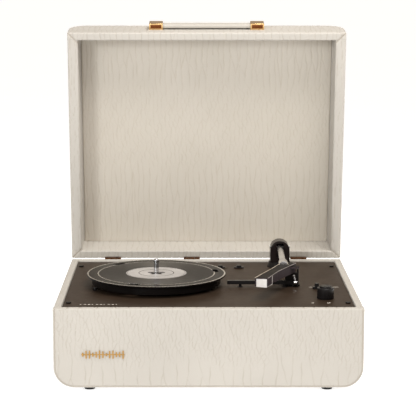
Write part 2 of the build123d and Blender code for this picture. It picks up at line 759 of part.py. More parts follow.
def make_board_components():
    radius, height = CAPACITOR
    x, y = BOARD_X[0] + CAPACITOR_START[0], BOARD_Y[0] + CAPACITOR_START[1]
    parts = [post(x + CAPACITOR_PITCH * i, y, (BOARD_Z[1], BOARD_Z[1] + height), radius)
             for i in range(CAPACITORS)]
    return group(parts + [make_heat_sink(), on_board(CHIP), on_board(TRANSFORMER)])


# ---- platter drive ------------------------------------------------------------------
def make_motor():
    motor = deck_post(PULLEY_PLACE, under_deck(MOTOR_LENGTH), MOTOR_RADIUS)
    motor -= deck_post(PULLEY_PLACE, (-DECK_THICKNESS - SHAFT_DEPTH - 1, 0), SHAFT_RADIUS + RUNNING)
    for place in motor_screw_places():
        motor -= deck_post(place, (-DECK_THICKNESS - MOTOR_SCREW_BITE, 0), MOTOR_SCREW[1])
    return motor


def make_motor_screws():
    return group([deck_post(place, (0, MOTOR_SCREW_HEAD), MOTOR_SCREW[0])
                  + deck_post(place, (-DECK_THICKNESS - MOTOR_SCREW_BITE, 0), MOTOR_SCREW[1])
                  for place in motor_screw_places()])


def make_pulley():
    low, high = PULLEY_HEIGHTS
    pulley = deck_post(PULLEY_PLACE, (low, high), PULLEY_RADIUS)
    for rim in ((low, low + PULLEY_RIM), (high - PULLEY_RIM, high)):
        pulley += deck_post(PULLEY_PLACE, rim, PULLEY_RADIUS + PULLEY_FLANGE)
    return pulley + deck_post(PULLEY_PLACE, (-DECK_THICKNESS - SHAFT_DEPTH, low), SHAFT_RADIUS)


def belt_loop(gap):
    """Plan face round the platter's belt ring and the pulley, gap clear of both."""
    ring_x, ring_y, _ = on_deck(*SPINDLE_PLACE)
    drum_x, drum_y, _ = on_deck(*PULLEY_PLACE)
    ring = Pos(ring_x, ring_y) * Circle(BELT_RING_RADII[1] + gap)
    drum = Pos(drum_x, drum_y) * Circle(PULLEY_RADIUS + gap)
    return make_hull(ring.edges() + drum.edges())


def make_belt():
    band = belt_loop(BELT_GAP + BELT_THICKNESS) - belt_loop(BELT_GAP)
    return Pos(0, 0, DECK_TOP + BELT_HEIGHTS[0]) * extrude(band, BELT_HEIGHTS[1] - BELT_HEIGHTS[0])


def make_spindle():
    """Axle that the platter turns on, with the record pin standing on its shoulder."""
    shoulder = PLATTER_TOP + AXLE_SHOULDER
    pin = deck_post(SPINDLE_PLACE, (shoulder, SPINDLE_TOP), SPINDLE_RADIUS)
    pin = fillet(pin.edges().sort_by(Axis.Z)[-1], SPINDLE_DOME)
    axle = deck_post(SPINDLE_PLACE, (0, shoulder), AXLE_RADIUS)
    axle += deck_post(SPINDLE_PLACE, (0, AXLE_FLANGE[1]), AXLE_FLANGE[0])
    axle += deck_post(SPINDLE_PLACE, (-DECK_THICKNESS - AXLE_STUB[1], 0), AXLE_STUB[0])
    return axle + pin


def turned(profile):
    """Revolve (radius, height) points round the spindle."""
    face = make_face(Polyline(*[(r, 0, h) for r, h in profile], close=True))
    return Pos(*on_deck(*SPINDLE_PLACE)) * revolve(face, Axis.Z)


def slot_cutters():
    slot = extrude(SlotOverall(*SLOT_SIZE), UNDER_PLATE, both=True)
    centre = Pos(*on_deck(*SPINDLE_PLACE, PLATTER_TOP))
    return [centre * Rot(0, 0, angle) * Pos(SLOT_RADIUS, 0, 0) * Rot(0, 0, 90) * slot
            for angle in SLOT_ANGLES]


def rib(radii):
    """Points of one ring that hangs from the platter's underside."""
    inner, outer, foot = radii
    return [(inner, UNDER_PLATE), (inner, foot), (outer, foot), (outer, UNDER_PLATE)]


def groove(radii, depth):
    """Points of one ring-shaped groove in the platter's top, from its outer edge inwards."""
    inner, outer = radii
    return [(outer, PLATTER_TOP), (outer, PLATTER_TOP - depth), (inner, PLATTER_TOP - depth),
            (inner, PLATTER_TOP)]


def make_platter():
    slope, low, side = PLATTER_CHAMFER
    outline = [(BUSHING_RADIUS, PLATTER_FOOT), (HUB_RADIUS, PLATTER_FOOT), (HUB_RADIUS, UNDER_PLATE)]
    outline += rib((*BELT_RING_RADII, PLATTER_FOOT + 1))
    outline += rib((*SKIRT_RADII, PLATTER_FOOT))
    outline += [(PLATTER_RADIUS - slope, UNDER_PLATE + low), (PLATTER_RADIUS, UNDER_PLATE + side),
                (PLATTER_RADIUS, PLATTER_TOP - low)]
    outline += groove(OUTER_RING_RADII, RING_DEPTH)
    outline += groove(INNER_RING_RADII, RING_DEPTH)
    outline += [(LABEL_RADIUS, PLATTER_TOP), (LABEL_RADIUS, PLATTER_TOP - LABEL_DEPTH),
                (BUSHING_RADIUS, PLATTER_TOP - LABEL_DEPTH)]
    plate = turned(outline)
    for cutter in slot_cutters():
        plate -= cutter
    return plate


def make_trim_rings():
    rings = []
    for inner, outer in (OUTER_RING_RADII, INNER_RING_RADII):
        ring = turned([(inner, PLATTER_TOP - RING_DEPTH), (outer, PLATTER_TOP - RING_DEPTH),
                       (outer, PLATTER_TOP), (inner, PLATTER_TOP)])
        for cutter in slot_cutters():
            ring -= cutter
        rings.extend(ring.solids())
    return group(rings)


def make_label_disc():
    """Disc inlaid in the platter's middle, with a lobed opening round the spindle."""
    face = Circle(LABEL_RADIUS) - Circle(STAR_RADIUS)
    for i in range(STAR_LOBES):
        face -= Rot(0, 0, 90 + 360 / STAR_LOBES * i) * Pos(LOBE_CIRCLE, 0) * Circle(LOBE_RADIUS)
    return Pos(*on_deck(*SPINDLE_PLACE, PLATTER_TOP - LABEL_DEPTH)) * extrude(face, LABEL_DEPTH)


def make_bushing():
    sleeve = deck_post(SPINDLE_PLACE, (BUSHING_FOOT, PLATTER_TOP - LABEL_DEPTH), BUSHING_RADIUS)
    return sleeve - deck_post(SPINDLE_PLACE, (0, PLATTER_TOP), AXLE_RADIUS + RUNNING)


def make_transit_screw():
    head = slotted_head(TRANSIT_PLACE, *TRANSIT_HEAD, TRANSIT_SLOT)
    radius, depth = TRANSIT_SHANK
    return head + deck_post(TRANSIT_PLACE, (-DECK_THICKNESS - depth, 0), radius)


# ---- tonearm ------------------------------------------------------------------------
def make_arm_pedestal():
    foot = Pos(*on_deck(*ARM_PLACE, PEDESTAL_HEIGHT / 2)) * Cone(*PEDESTAL_RADII, PEDESTAL_HEIGHT)
    foot += deck_post(ARM_PLACE, (-DECK_THICKNESS - PEDESTAL_STUB[1], 0), PEDESTAL_STUB[0])
    bore = (-DECK_THICKNESS - SWING_SHAFT[1] - 1, PEDESTAL_HEIGHT + 1)
    return foot - deck_post(ARM_PLACE, bore, SWING_SHAFT[0] + RUNNING)


def make_arm_turret():
    """Arched housing that swings on its shaft and carries the arm's lifting pivot."""
    radius = TURRET_WIDTH / 2
    shoulder = TURRET_TOP - radius
    span = about(ARM_Y, TURRET_DEPTH)
    arch = deck_box(about(ARM_X, TURRET_WIDTH), about(ARM_BACK, TURRET_DEPTH), (TURRET_FOOT, shoulder))
    arch += rod_y(ARM_X, span, DECK_TOP + shoulder, radius)
    arch = fillet(arch.faces().sort_by(Axis.Y)[0].edges().filter_by(GeomType.CIRCLE), TURRET_ROUND)
    arch += deck_post(ARM_PLACE, (-DECK_THICKNESS - SWING_SHAFT[1], TURRET_FOOT), SWING_SHAFT[0])
    arch -= deck_box(about(ARM_X, TURRET_SLOT),
                     (ARM_BACK - TURRET_DEPTH, ARM_BACK + TURRET_DEPTH / 2 - TURRET_BACK_WALL),
                     TURRET_SLOT_HEIGHTS)
    return arch - rod_x(about(ARM_X, TURRET_WIDTH + 2), ARM_Y, ARM_Z, PIVOT_RADIUS)


def make_turret_pin():
    cap_radius, cap = PIVOT_CAP
    pin = rod_x(about(ARM_X, TURRET_WIDTH + 2 * cap), ARM_Y, ARM_Z, PIVOT_RADIUS)
    for side in SIDES:
        centre = ARM_X + side * (TURRET_WIDTH + cap) / 2
        pin += rod_x(about(centre, cap), ARM_Y, ARM_Z, cap_radius)
    return pin


def swung(shape):
    """A piece drawn straight along the arm, turned to the angle it rests at."""
    return shape.rotate(Axis((ARM_X, ARM_Y, ARM_Z), (0, 0, 1)), -TUBE_ANGLE)


def make_arm_tube():
    tube = rod_y(ARM_X, (Y_FRONT + TUBE_FRONT, Y_FRONT + TUBE_REAR), ARM_Z, TUBE_RADIUS)
    tube -= rod_y(ARM_X, (Y_FRONT + TUBE_FRONT - 1, Y_FRONT + TUBE_REAR + 1), ARM_Z, TUBE_BORE)
    return swung(tube) - rod_x(about(ARM_X, TURRET_WIDTH), ARM_Y, ARM_Z, PIVOT_RADIUS + RUNNING)


def make_arm_collar():
    front = Y_FRONT + COLLAR_SPAN[0]
    rear = Y_FRONT + COLLAR_SPAN[1]
    depth, width = COLLAR_GROOVE
    low = rear - COLLAR_GROOVE_BACK
    collar = rod_y(ARM_X, (front, rear), ARM_Z, COLLAR_RADIUS)
    collar -= rod_y(ARM_X, (Y_FRONT + TUBE_FRONT, rear + 1), ARM_Z, TUBE_RADIUS)
    ring = rod_y(ARM_X, (low, low + width), ARM_Z, COLLAR_RADIUS + 1)
    ring -= rod_y(ARM_X, (low - 1, low + width + 1), ARM_Z, COLLAR_RADIUS - depth)
    return swung(collar - ring)


def in_shell(shape):
    """A shape drawn at the cartridge's front foot, turned and placed in the headshell."""
    return Pos(*on_deck(*CARTRIDGE_PLACE, SHELL_HEIGHTS[0])) * Rot(0, 0, -SHELL_ANGLE) * shape


def make_cartridge():
    width, length, height = CARTRIDGE_SIZE
    return in_shell(box(about(0, width), (0, length), (0, height)))


def make_headshell():
    width, length, height = CARTRIDGE_SIZE
    shell = deck_outline(SHELL_OUTLINE, SHELL_HEIGHTS)
    scallop_back, scallop = SHELL_SCALLOP
    front = min(back for _, back in SHELL_OUTLINE)
    shell -= deck_box((0, ARM_X), (front - 1, scallop_back),
                      (SHELL_HEIGHTS[0] - 1, SHELL_HEIGHTS[0] + scallop))
    shell += deck_box(FINGER_LIFT_X, FINGER_LIFT_BACK, FINGER_LIFT_HEIGHTS)
    shell -= in_shell(box(about(0, width), (-length, length), (-height, height)))
    return shell - swung(rod_y(ARM_X, (Y_FRONT + COLLAR_SPAN[0], Y_FRONT + TUBE_REAR), ARM_Z, COLLAR_RADIUS))


def make_stylus():
    width, length, drop = STYLUS_HOLDER
    base, point = STYLUS_TIP
    tip = Pos(0, STYLUS_TIP_BACK, -drop - base / 2) * Cone(point, base, base)
    return in_shell(box(width, length, (-drop, 0)) + tip)


def make_arm_rest():
    """Shelf under the rear of the headshell, with a low lip on the outer side."""
    top = SHELL_HEIGHTS[0] - REST_CLEARANCE
    near, far, foot = REST_FOOT
    lip_gap, lip, rise = REST_LIP
    rest = deck_box(REST_X, REST_BACK, (0, top))
    rest += deck_box((REST_X[0] - near, REST_X[1] + far), (REST_BACK[0] - near, REST_BACK[1] + near),
                     (0, foot))
    rest += deck_box((REST_X[1], REST_X[1] + lip_gap), REST_BACK, (foot, top))
    return rest + deck_box((REST_X[1] + lip_gap, REST_X[1] + lip_gap + lip), REST_BACK,
                           (foot, SHELL_HEIGHTS[0] + rise))


# ---- cueing -------------------------------------------------------------------------
def make_cue_guide():
    """Two guide bushes joined under the deck, with the lever's ears beside the bar."""
    margin, depth = CUE_HOUSING
    guide = deck_box((CUE_POST_X[0] - margin, CUE_X + margin), about(CUE_BACK, 2 * margin), under_deck(depth))
    for x in CUE_POST_X:
        guide += deck_post((x, CUE_BACK), (-DECK_THICKNESS, CUE_BUSH_PROUD), CUE_BUSH_RADIUS)
        guide -= deck_post((x, CUE_BACK), (-DECK_THICKNESS - depth - 1, 1), CUE_POST_RADIUS + RUNNING)
    inner, outer = CUE_EAR_X
    for side in SIDES:
        ear_x = (CUE_X + inner, CUE_X + outer) if side > 0 else (CUE_X - outer, CUE_X - inner)
        guide += deck_box(ear_x, about(CUE_BACK, CUE_EAR_DEPTH), (-DECK_THICKNESS, CUE_HEIGHT + CUE_EAR_RISE))
    return guide - rod_x(about(CUE_X, 2 * outer + 2), Y_FRONT + CUE_BACK, DECK_TOP + CUE_HEIGHT,
                         CUE_AXLE_RADIUS + RUNNING)


def make_cue_bar():
    bar = deck_box(CUE_BAR_X, about(CUE_BACK, CUE_BAR_DEPTH), CUE_BAR_HEIGHTS)
    for x in CUE_POST_X:
        bar += deck_post((x, CUE_BACK), (-DECK_THICKNESS - CUE_POST_DEPTH, CUE_BAR_HEIGHTS[0]),
                         CUE_POST_RADIUS)
    return bar


def make_cue_lever():
    _, y, z = on_deck(CUE_X, CUE_BACK, CUE_HEIGHT)
    hub_radius, hub_half = CUE_HUB
    stem_radius, stem_length = CUE_STEM
    knob_radius, knob_height = CUE_KNOB
    lean = Pos(CUE_X, y, z) * Rot(0, -CUE_LEAN, 0)
    lever = rod_x(about(CUE_X, 2 * CUE_EAR_X[1]), y, z, CUE_AXLE_RADIUS)
    lever += rod_x(about(CUE_X, 2 * hub_half), y, z, hub_radius)
    lever += lean * Pos(0, 0, CUE_STEM_CENTRE) * Cylinder(stem_radius, stem_length)
    return lever + lean * Pos(0, 0, knob_height) * Sphere(knob_radius)


# ---- controls -----------------------------------------------------------------------
def make_volume_pot():
    x, back = VOLUME_PLACE
    size, depth = VOLUME_POT
    pot = deck_box(about(x, size), about(back, size), under_deck(depth))
    pot += deck_post(VOLUME_PLACE, (-DECK_THICKNESS, 0), VOLUME_BUSH)
    radius, length = VOLUME_SHAFT
    return pot - deck_post(VOLUME_PLACE, (-DECK_THICKNESS - length - 1, 1), radius + RUNNING)


def make_volume_knob():
    low, high = VOLUME_HEIGHTS
    cap_radius, cap = VOLUME_CAP
    knob = deck_post(VOLUME_PLACE, (low, high), VOLUME_RADIUS)
    knob = fillet(knob.edges().sort_by(Axis.Z)[-1], VOLUME_ROUNDS[0])
    knob += deck_post(VOLUME_PLACE, (high, high + cap), cap_radius)
    knob = fillet(knob.edges().sort_by(Axis.Z)[-1], VOLUME_ROUNDS[1])
    return knob + deck_post(VOLUME_PLACE, (-DECK_THICKNESS - VOLUME_SHAFT[1], low), VOLUME_SHAFT[0])


def slider(place, size):
    """Slide switch cap with a grip ridge and a stem through the deck."""
    x, back = place
    width, depth, height = size
    stem_width, stem_depth, stem_drop = SLIDER_STEM
    step = height * SLIDER_STEP
    cap = deck_box(about(x, width), about(back, depth), (SLIDER_LIFT, step))
    cap += deck_box(about(x, width / 2), about(back, depth), (step, height))
    stem = (-DECK_THICKNESS - stem_drop, SLIDER_LIFT)
    return cap + deck_box(about(x, stem_width), about(back, stem_depth), stem)


def make_switches():
    """Slide-switch bodies under the deck, each hollow where its stem travels."""
    end, half, depth = SWITCH_BODY
    bodies = []
    for (x, back), travel in SLIDERS:
        body = deck_box((x - end, x + travel + end), about(back, 2 * half), under_deck(depth))
        bodies.append(body - slider_opening((x, back), travel, (-DECK_THICKNESS - SWITCH_HOLLOW, 0)))
    return group(bodies)


# ---- lid (drawn closed, then opened) --------------------------------------------------
def lid_profile():
    return case_profile(LID_RIM, LID_TOP, CASE_RADIUS, at_top=True)


def make_lid_wrap():
    hollow = case_profile(LID_RIM - 1, LID_TOP - LID_BACK, LID_INNER_RADIUS, at_top=True, inset=LID_SIDE)
    return slab(lid_profile() - hollow, (Y_FRONT + LID_END, Y_REAR - LID_END))


def handle_pegs(grow=0.0):
    """Four pegs that hold the handle's end caps to the lid's front wall."""
    return [rod_y(x, (Y_FRONT - grow, Y_FRONT + PEG_LENGTH), z, PEG_RADIUS) for x, z in HANDLE_PEGS]


def make_lid_front_board():
    board = end_board(lid_profile(), (Y_FRONT, Y_FRONT + LID_END), -1)
    for cutter in magnet_pair(lid_magnet_heights()) + handle_pegs(grow=1.0):
        board -= cutter
    return board


def make_lid_rear_board():
    return knuckle_grooves(end_board(lid_profile(), (Y_REAR - LID_END, Y_REAR), 1))


def make_lid_lining():
    half = HALF - LID_SIDE - LID_INNER_RADIUS
    return box((-half, half), (Y_FRONT + LID_END, Y_REAR - LID_END),
               (LID_TOP - LID_BACK - LINING, LID_TOP - LID_BACK))


def make_lid_magnets():
    return group(magnet_pair(lid_magnet_heights()))


def hinge_leaf(x, up, knuckles):
    """Leaf on a rear face, above (up = 1) or below (-1) the axis, with its barrels and rivets."""
    face = Y_REAR + LEAF_STANDOFF
    near = HINGE_Z + up * (KNUCKLE_RADIUS + KNUCKLE_ROOM)
    far = HINGE_Z + up * LEAF_REACH
    leaf = box(about(x, HINGE_WIDTH), (face, face + LEAF), (min(near, far), max(near, far)))
    for low, high in knuckles:
        barrel = rod_x((x + low, x + high), HINGE_Y, HINGE_Z, KNUCKLE_RADIUS)
        web = box((x + low, x + high), (face, face + LEAF), (min(HINGE_Z, near), max(HINGE_Z, near)))
        leaf += barrel + web
    for rivet in RIVET_X:
        leaf += rod_y(x + rivet, (face + LEAF, face + LEAF + RIVET_PROUD), HINGE_Z + up * RIVET_DROP,
                      RIVET_RADIUS)
    return leaf


def pin_hole(x, radius):
    return rod_x(about(x, 2 * HINGE_WIDTH), HINGE_Y, HINGE_Z, radius)


def make_base_leaves():
    outer = HINGE_WIDTH / 2
    inner = KNUCKLE_SPLIT + KNUCKLE_SPACE
    return group([hinge_leaf(x, -1, ((-outer, -inner), (inner, outer)))
                  - pin_hole(x, HINGE_PIN_RADIUS + RUNNING) for x in HINGE_X])


def make_lid_leaves():
    return group([hinge_leaf(x, 1, ((-KNUCKLE_SPLIT, KNUCKLE_SPLIT),)) - pin_hole(x, HINGE_PIN_RADIUS)
                  for x in HINGE_X])


def make_hinge_pins():
    return group([rod_x(about(x, HINGE_WIDTH), HINGE_Y, HINGE_Z, HINGE_PIN_RADIUS) for x in HINGE_X])


def make_handle_caps():
    """Boxed end caps on the lid's front wall, open towards the middle for the strap."""
    strap_top = STRAP_GAP + STRAP_THICKNESS + STRAP_PLAY
    pegs = handle_pegs()
    caps = []
    for index, side in enumerate(SIDES):
        outer = HANDLE_LENGTH / 2
        cap = box(wall_span(side, outer - HANDLE_CAP, outer), (Y_FRONT - HANDLE_PROUD, Y_FRONT),
                  about(HANDLE_Z, HANDLE_WIDTH))
        cap = fillet(cap.faces().sort_by(Axis.Y)[0].edges(), CAP_ROUND)
        cap -= box(wall_span(side, outer - HANDLE_CAP - 1, outer - CAP_WALL),
                   (Y_FRONT - strap_top - STRAP_ROOM, Y_FRONT - STRAP_GAP + STRAP_ROOM),
                   about(HANDLE_Z, STRAP_WIDTH + 2 * STRAP_ROOM))
        caps.append(cap + pegs[2 * index] + pegs[2 * index + 1])
    return group(caps)


def make_handle_strap():
    length = HANDLE_LENGTH - 2 * (CAP_WALL + STRAP_END_ROOM)
    strap = box(about(0, length), (Y_FRONT - STRAP_GAP - STRAP_THICKNESS, Y_FRONT - STRAP_GAP),
                about(HANDLE_Z, STRAP_WIDTH))
    return fillet(strap.edges().filter_by(Axis.X), STRAP_ROUND)


# ---- assembly -----------------------------------------------------------------------
BASE_NODES = {
    "case_wrap": make_case_wrap(),
    "case_front_board": make_front_board(),
    "case_rear_board": make_rear_board(),
    "deck_battens": make_battens(),
    "rubber_feet": make_feet(),
    "foot_screws": make_foot_screws(),
    "base_magnets": make_base_magnets(),
    "deck_plate": make_deck_plate(),
    "deck_screws": make_deck_screws(),
    "front_emblem": make_emblem(),
    "rear_connector_plate": make_connector_plate(),
    "rca_jacks": make_rca_jacks(),
    "aux_jack": make_aux_jack(),
    "dc_inlet": make_dc_inlet(),
    "speaker_grilles": make_grilles(),
    "speaker_frames": make_speaker_frames(),
    "speaker_cones": make_speaker_cones(),
    "speaker_magnets": make_speaker_magnets(),
    "speaker_screws": make_speaker_screws(),
    "amplifier_board": make_amplifier_board(),
    "board_standoffs": make_standoffs(),
    "board_components": make_board_components(),
    "drive_motor": make_motor(),
    "motor_screws": make_motor_screws(),
    "motor_pulley": make_pulley(),
    "drive_belt": make_belt(),
    "spindle": make_spindle(),
    "platter": make_platter(),
    "platter_trim_rings": make_trim_rings(),
    "label_disc": make_label_disc(),
    "platter_bushing": make_bushing(),
    "transit_screw": make_transit_screw(),
    "arm_pedestal": make_arm_pedestal(),
    "arm_turret": make_arm_turret(),
    "turret_pin": make_turret_pin(),
    "arm_tube": make_arm_tube(),
    "arm_collar": make_arm_collar(),
    "headshell": make_headshell(),
    "cartridge": make_cartridge(),
    "stylus": make_stylus(),
    "arm_rest": make_arm_rest(),
    "cue_guide": make_cue_guide(),
    "cue_bar": make_cue_bar(),
    "cue_lever": make_cue_lever(),
    "volume_pot": make_volume_pot(),
    "volume_knob": make_volume_knob(),
    "slide_switches": make_switches(),
    "speed_slider": slider(SPEED_PLACE, REAR_SLIDER),
    "autostop_slider": slider(AUTOSTOP_PLACE, REAR_SLIDER),
    "function_slider": slider(FUNCTION_PLACE, FUNCTION_SLIDER),
    "hinge_base_leaves": make_base_leaves(),
}
LID_NODES = {
    "hinge_lid_leaves": make_lid_leaves(),
    "hinge_pins": make_hinge_pins(),
    "lid_wrap": make_lid_wrap(),
    "lid_front_board": make_lid_front_board(),
    "lid_rear_board": make_lid_rear_board(),
    "lid_lining": make_lid_lining(),
    "lid_magnets": make_lid_magnets(),
    "handle_end_caps": make_handle_caps(),
    "handle_strap": make_handle_strap(),
}

for name, shape in BASE_NODES.items():
    export_step(shape, f"parts/{name}.step")
for name, shape in LID_NODES.items():
    export_step(opened(shape), f"parts/{name}.step")
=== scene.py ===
import json
import math

import bmesh
import bpy
import numpy as np
from mathutils import Matrix, Vector


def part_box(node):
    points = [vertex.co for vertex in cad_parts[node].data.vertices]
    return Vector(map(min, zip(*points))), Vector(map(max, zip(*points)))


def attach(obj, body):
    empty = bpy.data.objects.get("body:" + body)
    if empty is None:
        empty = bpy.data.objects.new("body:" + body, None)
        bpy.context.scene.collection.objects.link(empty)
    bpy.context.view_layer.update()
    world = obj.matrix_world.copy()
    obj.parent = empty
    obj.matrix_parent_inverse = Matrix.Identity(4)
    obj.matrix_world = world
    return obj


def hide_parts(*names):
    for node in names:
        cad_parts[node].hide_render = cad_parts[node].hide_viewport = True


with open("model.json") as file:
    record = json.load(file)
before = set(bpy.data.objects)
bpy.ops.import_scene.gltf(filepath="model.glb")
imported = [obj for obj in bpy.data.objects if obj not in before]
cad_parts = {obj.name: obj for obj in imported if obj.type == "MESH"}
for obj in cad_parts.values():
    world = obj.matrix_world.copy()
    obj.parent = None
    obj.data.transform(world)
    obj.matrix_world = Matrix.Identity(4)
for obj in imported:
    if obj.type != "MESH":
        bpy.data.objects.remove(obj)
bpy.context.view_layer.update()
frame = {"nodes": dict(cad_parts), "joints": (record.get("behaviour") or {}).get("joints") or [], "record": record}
NODES = frame["nodes"]
JOINTS = {j["name"]: j for j in frame["joints"]}
MM = 0.001

# ---- places read from the frame -------------------------------------------------------
FRONT_LOW, FRONT_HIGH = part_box("case_front_board")
Y_FRONT = FRONT_LOW.y
CASE_TOP = FRONT_HIGH.z
FEET_HEIGHT = FRONT_LOW.z
HINGE = Vector(JOINTS["lid_hinge"]["pos_m"])
LID_ANGLE = math.radians(-JOINTS["lid_hinge"]["range_deg"][0])
CLOSED = Matrix.Translation(HINGE) @ Matrix.Rotation(LID_ANGLE, 4, "X") @ Matrix.Translation(-HINGE)
OPENED = CLOSED.inverted()
SPIN = Vector(JOINTS["platter_spin"]["pos_m"])
RING_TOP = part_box("platter_trim_rings")[1].z
PLATTER_CENTRE = Vector((SPIN.x, SPIN.y, RING_TOP))
PEDESTAL_HEIGHT = 8 * MM
DECK_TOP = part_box("arm_pedestal")[1].z - PEDESTAL_HEIGHT

# The same places in mm, for the embossing.
HALF_WIDTH = FRONT_HIGH.x / MM
FRONT_Y = Y_FRONT / MM
REAR_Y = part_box("case_rear_board")[1].y / MM
RIM_OVER_HINGE = 0.3
RIM_Z = HINGE.z / MM + RIM_OVER_HINGE
CASE_RADIUS = 27.0

# Column numbers of a place, and how near two vertices are when they count as one, in metres.
Y, Z = 1, 2
MERGE = 1e-6


# ---- small mesh helpers ---------------------------------------------------------------
def new_object(name, mesh):
    """Mesh as an object in the scene, shaded smooth."""
    for polygon in mesh.polygons:
        polygon.use_smooth = True
    piece = bpy.data.objects.new(name, mesh)
    bpy.context.scene.collection.objects.link(piece)
    return piece


def mesh_from(name, verts, faces):
    mesh = bpy.data.meshes.new(name)
    mesh.from_pydata([tuple(v) for v in verts], [], faces)
    mesh.validate()
    mesh.update()
    return mesh


def vertex_array(mesh):
    co = np.zeros(len(mesh.vertices) * 3, np.float32)
    mesh.vertices.foreach_get("co", co)
    return co.reshape(-1, 3).astype(np.float64)


def normal_array(mesh):
    normals = np.zeros(len(mesh.vertices) * 3, np.float32)
    mesh.vertices.foreach_get("normal", normals)
    return normals.reshape(-1, 3).astype(np.float64)


def set_vertices(mesh, co):
    mesh.vertices.foreach_set("co", co.astype(np.float32).ravel())
    mesh.update()


def apply_modifiers(piece):
    """Bakes a piece's modifiers into its mesh."""
    graph = bpy.context.evaluated_depsgraph_get()
    done = bpy.data.meshes.new_from_object(piece.evaluated_get(graph))
    piece.modifiers.clear()
    piece.data = done
    return piece


# ---- materials ------------------------------------------------------------------------
class Shader:
    """A material with a Principled shader and short ways to add nodes to it."""

    def __init__(self, name):
        self.material = bpy.data.materials.new(name)
        self.material.use_nodes = True
        self.nodes = self.material.node_tree.nodes
        self.links = self.material.node_tree.links
        self.bsdf = self.nodes["Principled BSDF"]
        self.coords = self.nodes.new("ShaderNodeTexCoord").outputs["Object"]

    def set(self, **values):
        for key, value in values.items():
            self.bsdf.inputs[key.replace("_", " ")].default_value = value
        return self

    def link(self, out, socket):
        self.links.new(out, self.bsdf.inputs[socket])
        return self

    def noise(self, scale, detail=3.0, roughness=0.5, stretch=None):
        node = self.nodes.new("ShaderNodeTexNoise")
        node.inputs["Scale"].default_value = scale
        node.inputs["Detail"].default_value = detail
        node.inputs["Roughness"].default_value = roughness
        self.links.new(self.stretched(stretch), node.inputs["Vector"])
        return node.outputs["Fac"]

    def stretched(self, stretch):
        if stretch is None:
            return self.coords
        node = self.nodes.new("ShaderNodeMapping")
        node.inputs["Scale"].default_value = stretch
        self.links.new(self.coords, node.inputs["Vector"])
        return node.outputs["Vector"]

    def cells(self, scale):
        node = self.nodes.new("ShaderNodeTexVoronoi")
        node.inputs["Scale"].default_value = scale
        self.links.new(self.coords, node.inputs["Vector"])
        return node.outputs["Distance"]

    def ramp(self, fac, stops):
        node = self.nodes.new("ShaderNodeValToRGB")
        elements = node.color_ramp.elements
        while len(elements) < len(stops):
            elements.new(0.5)
        for element, (place, colour) in zip(elements, stops):
            element.position = place
            element.color = colour if len(colour) == 4 else (*colour, 1.0)
        self.links.new(fac, node.inputs["Fac"])
        return node.outputs["Color"]

    def span(self, fac, low, high):
        """Maps 0..1 to low..high."""
        node = self.nodes.new("ShaderNodeMapRange")
        node.inputs["To Min"].default_value = low
        node.inputs["To Max"].default_value = high
        self.links.new(fac, node.inputs["Value"])
        return node.outputs["Result"]

    def attribute(self, name):
        node = self.nodes.new("ShaderNodeAttribute")
        node.attribute_name = name
        return node.outputs["Fac"]

    def mixed(self, fac, a, b, mode="MIX"):
        node = self.nodes.new("ShaderNodeMix")
        node.data_type = "RGBA"
        node.blend_type = mode
        for value, socket in ((fac, node.inputs[0]), (a, node.inputs[6]), (b, node.inputs[7])):
            if hasattr(value, "is_linked"):
                self.links.new(value, socket)
            else:
                socket.default_value = value
        return node.outputs[2]

    def bump(self, height, distance, strength=1.0):
        node = self.nodes.new("ShaderNodeBump")
        node.inputs["Distance"].default_value = distance
        node.inputs["Strength"].default_value = strength
        self.links.new(height, node.inputs["Height"])
        self.links.new(node.outputs["Normal"], self.bsdf.inputs["Normal"])
        return self


def srgb(r, g, b):
    """Linear colour from 0-255 sRGB values."""
    def linear(c):
        c /= 255
        return c / 12.92 if c <= 0.04045 else ((c + 0.055) / 1.055) ** 2.4
    return (linear(r), linear(g), linear(b), 1.0)


# Darkest colour at full crease depth: the dark of the front and mitre seams, and painted shade where the lining
# meets the lid walls.
SEAM_JOINT_AND_SHADE_TONE = (0.50, 0.42, 0.34)


def leatherette(name, low, high, crease_painted_shade):
    """Cream embossed leatherette with a fine pore grain; its creases and seams get painted shade, darker with the
    stored crease depth.
    """
    s = Shader(name)
    tone = s.ramp(s.noise(9.0, 4.0), [(0.3, low), (0.7, high)])
    # Painted shade: the colour darkens with crease depth, in place of shade from the creases' relief.
    crease = s.ramp(s.attribute("crease"), [
        (0.08, (1, 1, 1)), (0.5, crease_painted_shade), (1.0, SEAM_JOINT_AND_SHADE_TONE)])
    s.link(s.mixed(1.0, tone, crease, "MULTIPLY"), "Base Color")
    s.link(s.span(s.noise(60.0), 0.45, 0.6), "Roughness")
    s.set(Sheen_Weight=0.08, Sheen_Roughness=0.5, Specular_IOR_Level=0.4)
    s.bump(s.cells(1400.0), 0.00005, 0.3)
    return s.material


def metal(name, colour, roughness, spread=0.08, grain=(1.0, 1.0, 1.0)):
    s = Shader(name)
    dark = tuple(0.88 * c for c in colour[:3]) + (1.0,)
    s.link(s.ramp(s.noise(220.0, 4.0, 0.6, grain), [(0.35, dark), (0.65, colour)]), "Base Color")
    s.link(s.span(s.noise(400.0, 3.0, 0.5, grain), roughness, roughness + spread), "Roughness")
    s.set(Metallic=1.0)
    return s.material


def plastic(name, colour, roughness, spread=0.06, grain_scale=900.0, grain_depth=0.00002,
            shine=0.5, tint=(1.0, 1.0, 1.0, 1.0), ior=1.45):
    s = Shader(name)
    light = tuple(min(1.0, 1.25 * c + 0.002) for c in colour[:3]) + (1.0,)
    s.link(s.ramp(s.noise(35.0, 4.0), [(0.35, colour), (0.7, light)]), "Base Color")
    s.link(s.span(s.noise(120.0), roughness, roughness + spread), "Roughness")
    s.set(Specular_IOR_Level=shine, Specular_Tint=tint, IOR=ior)
    s.bump(s.noise(grain_scale, 2.0), grain_depth, 0.5)
    return s.material


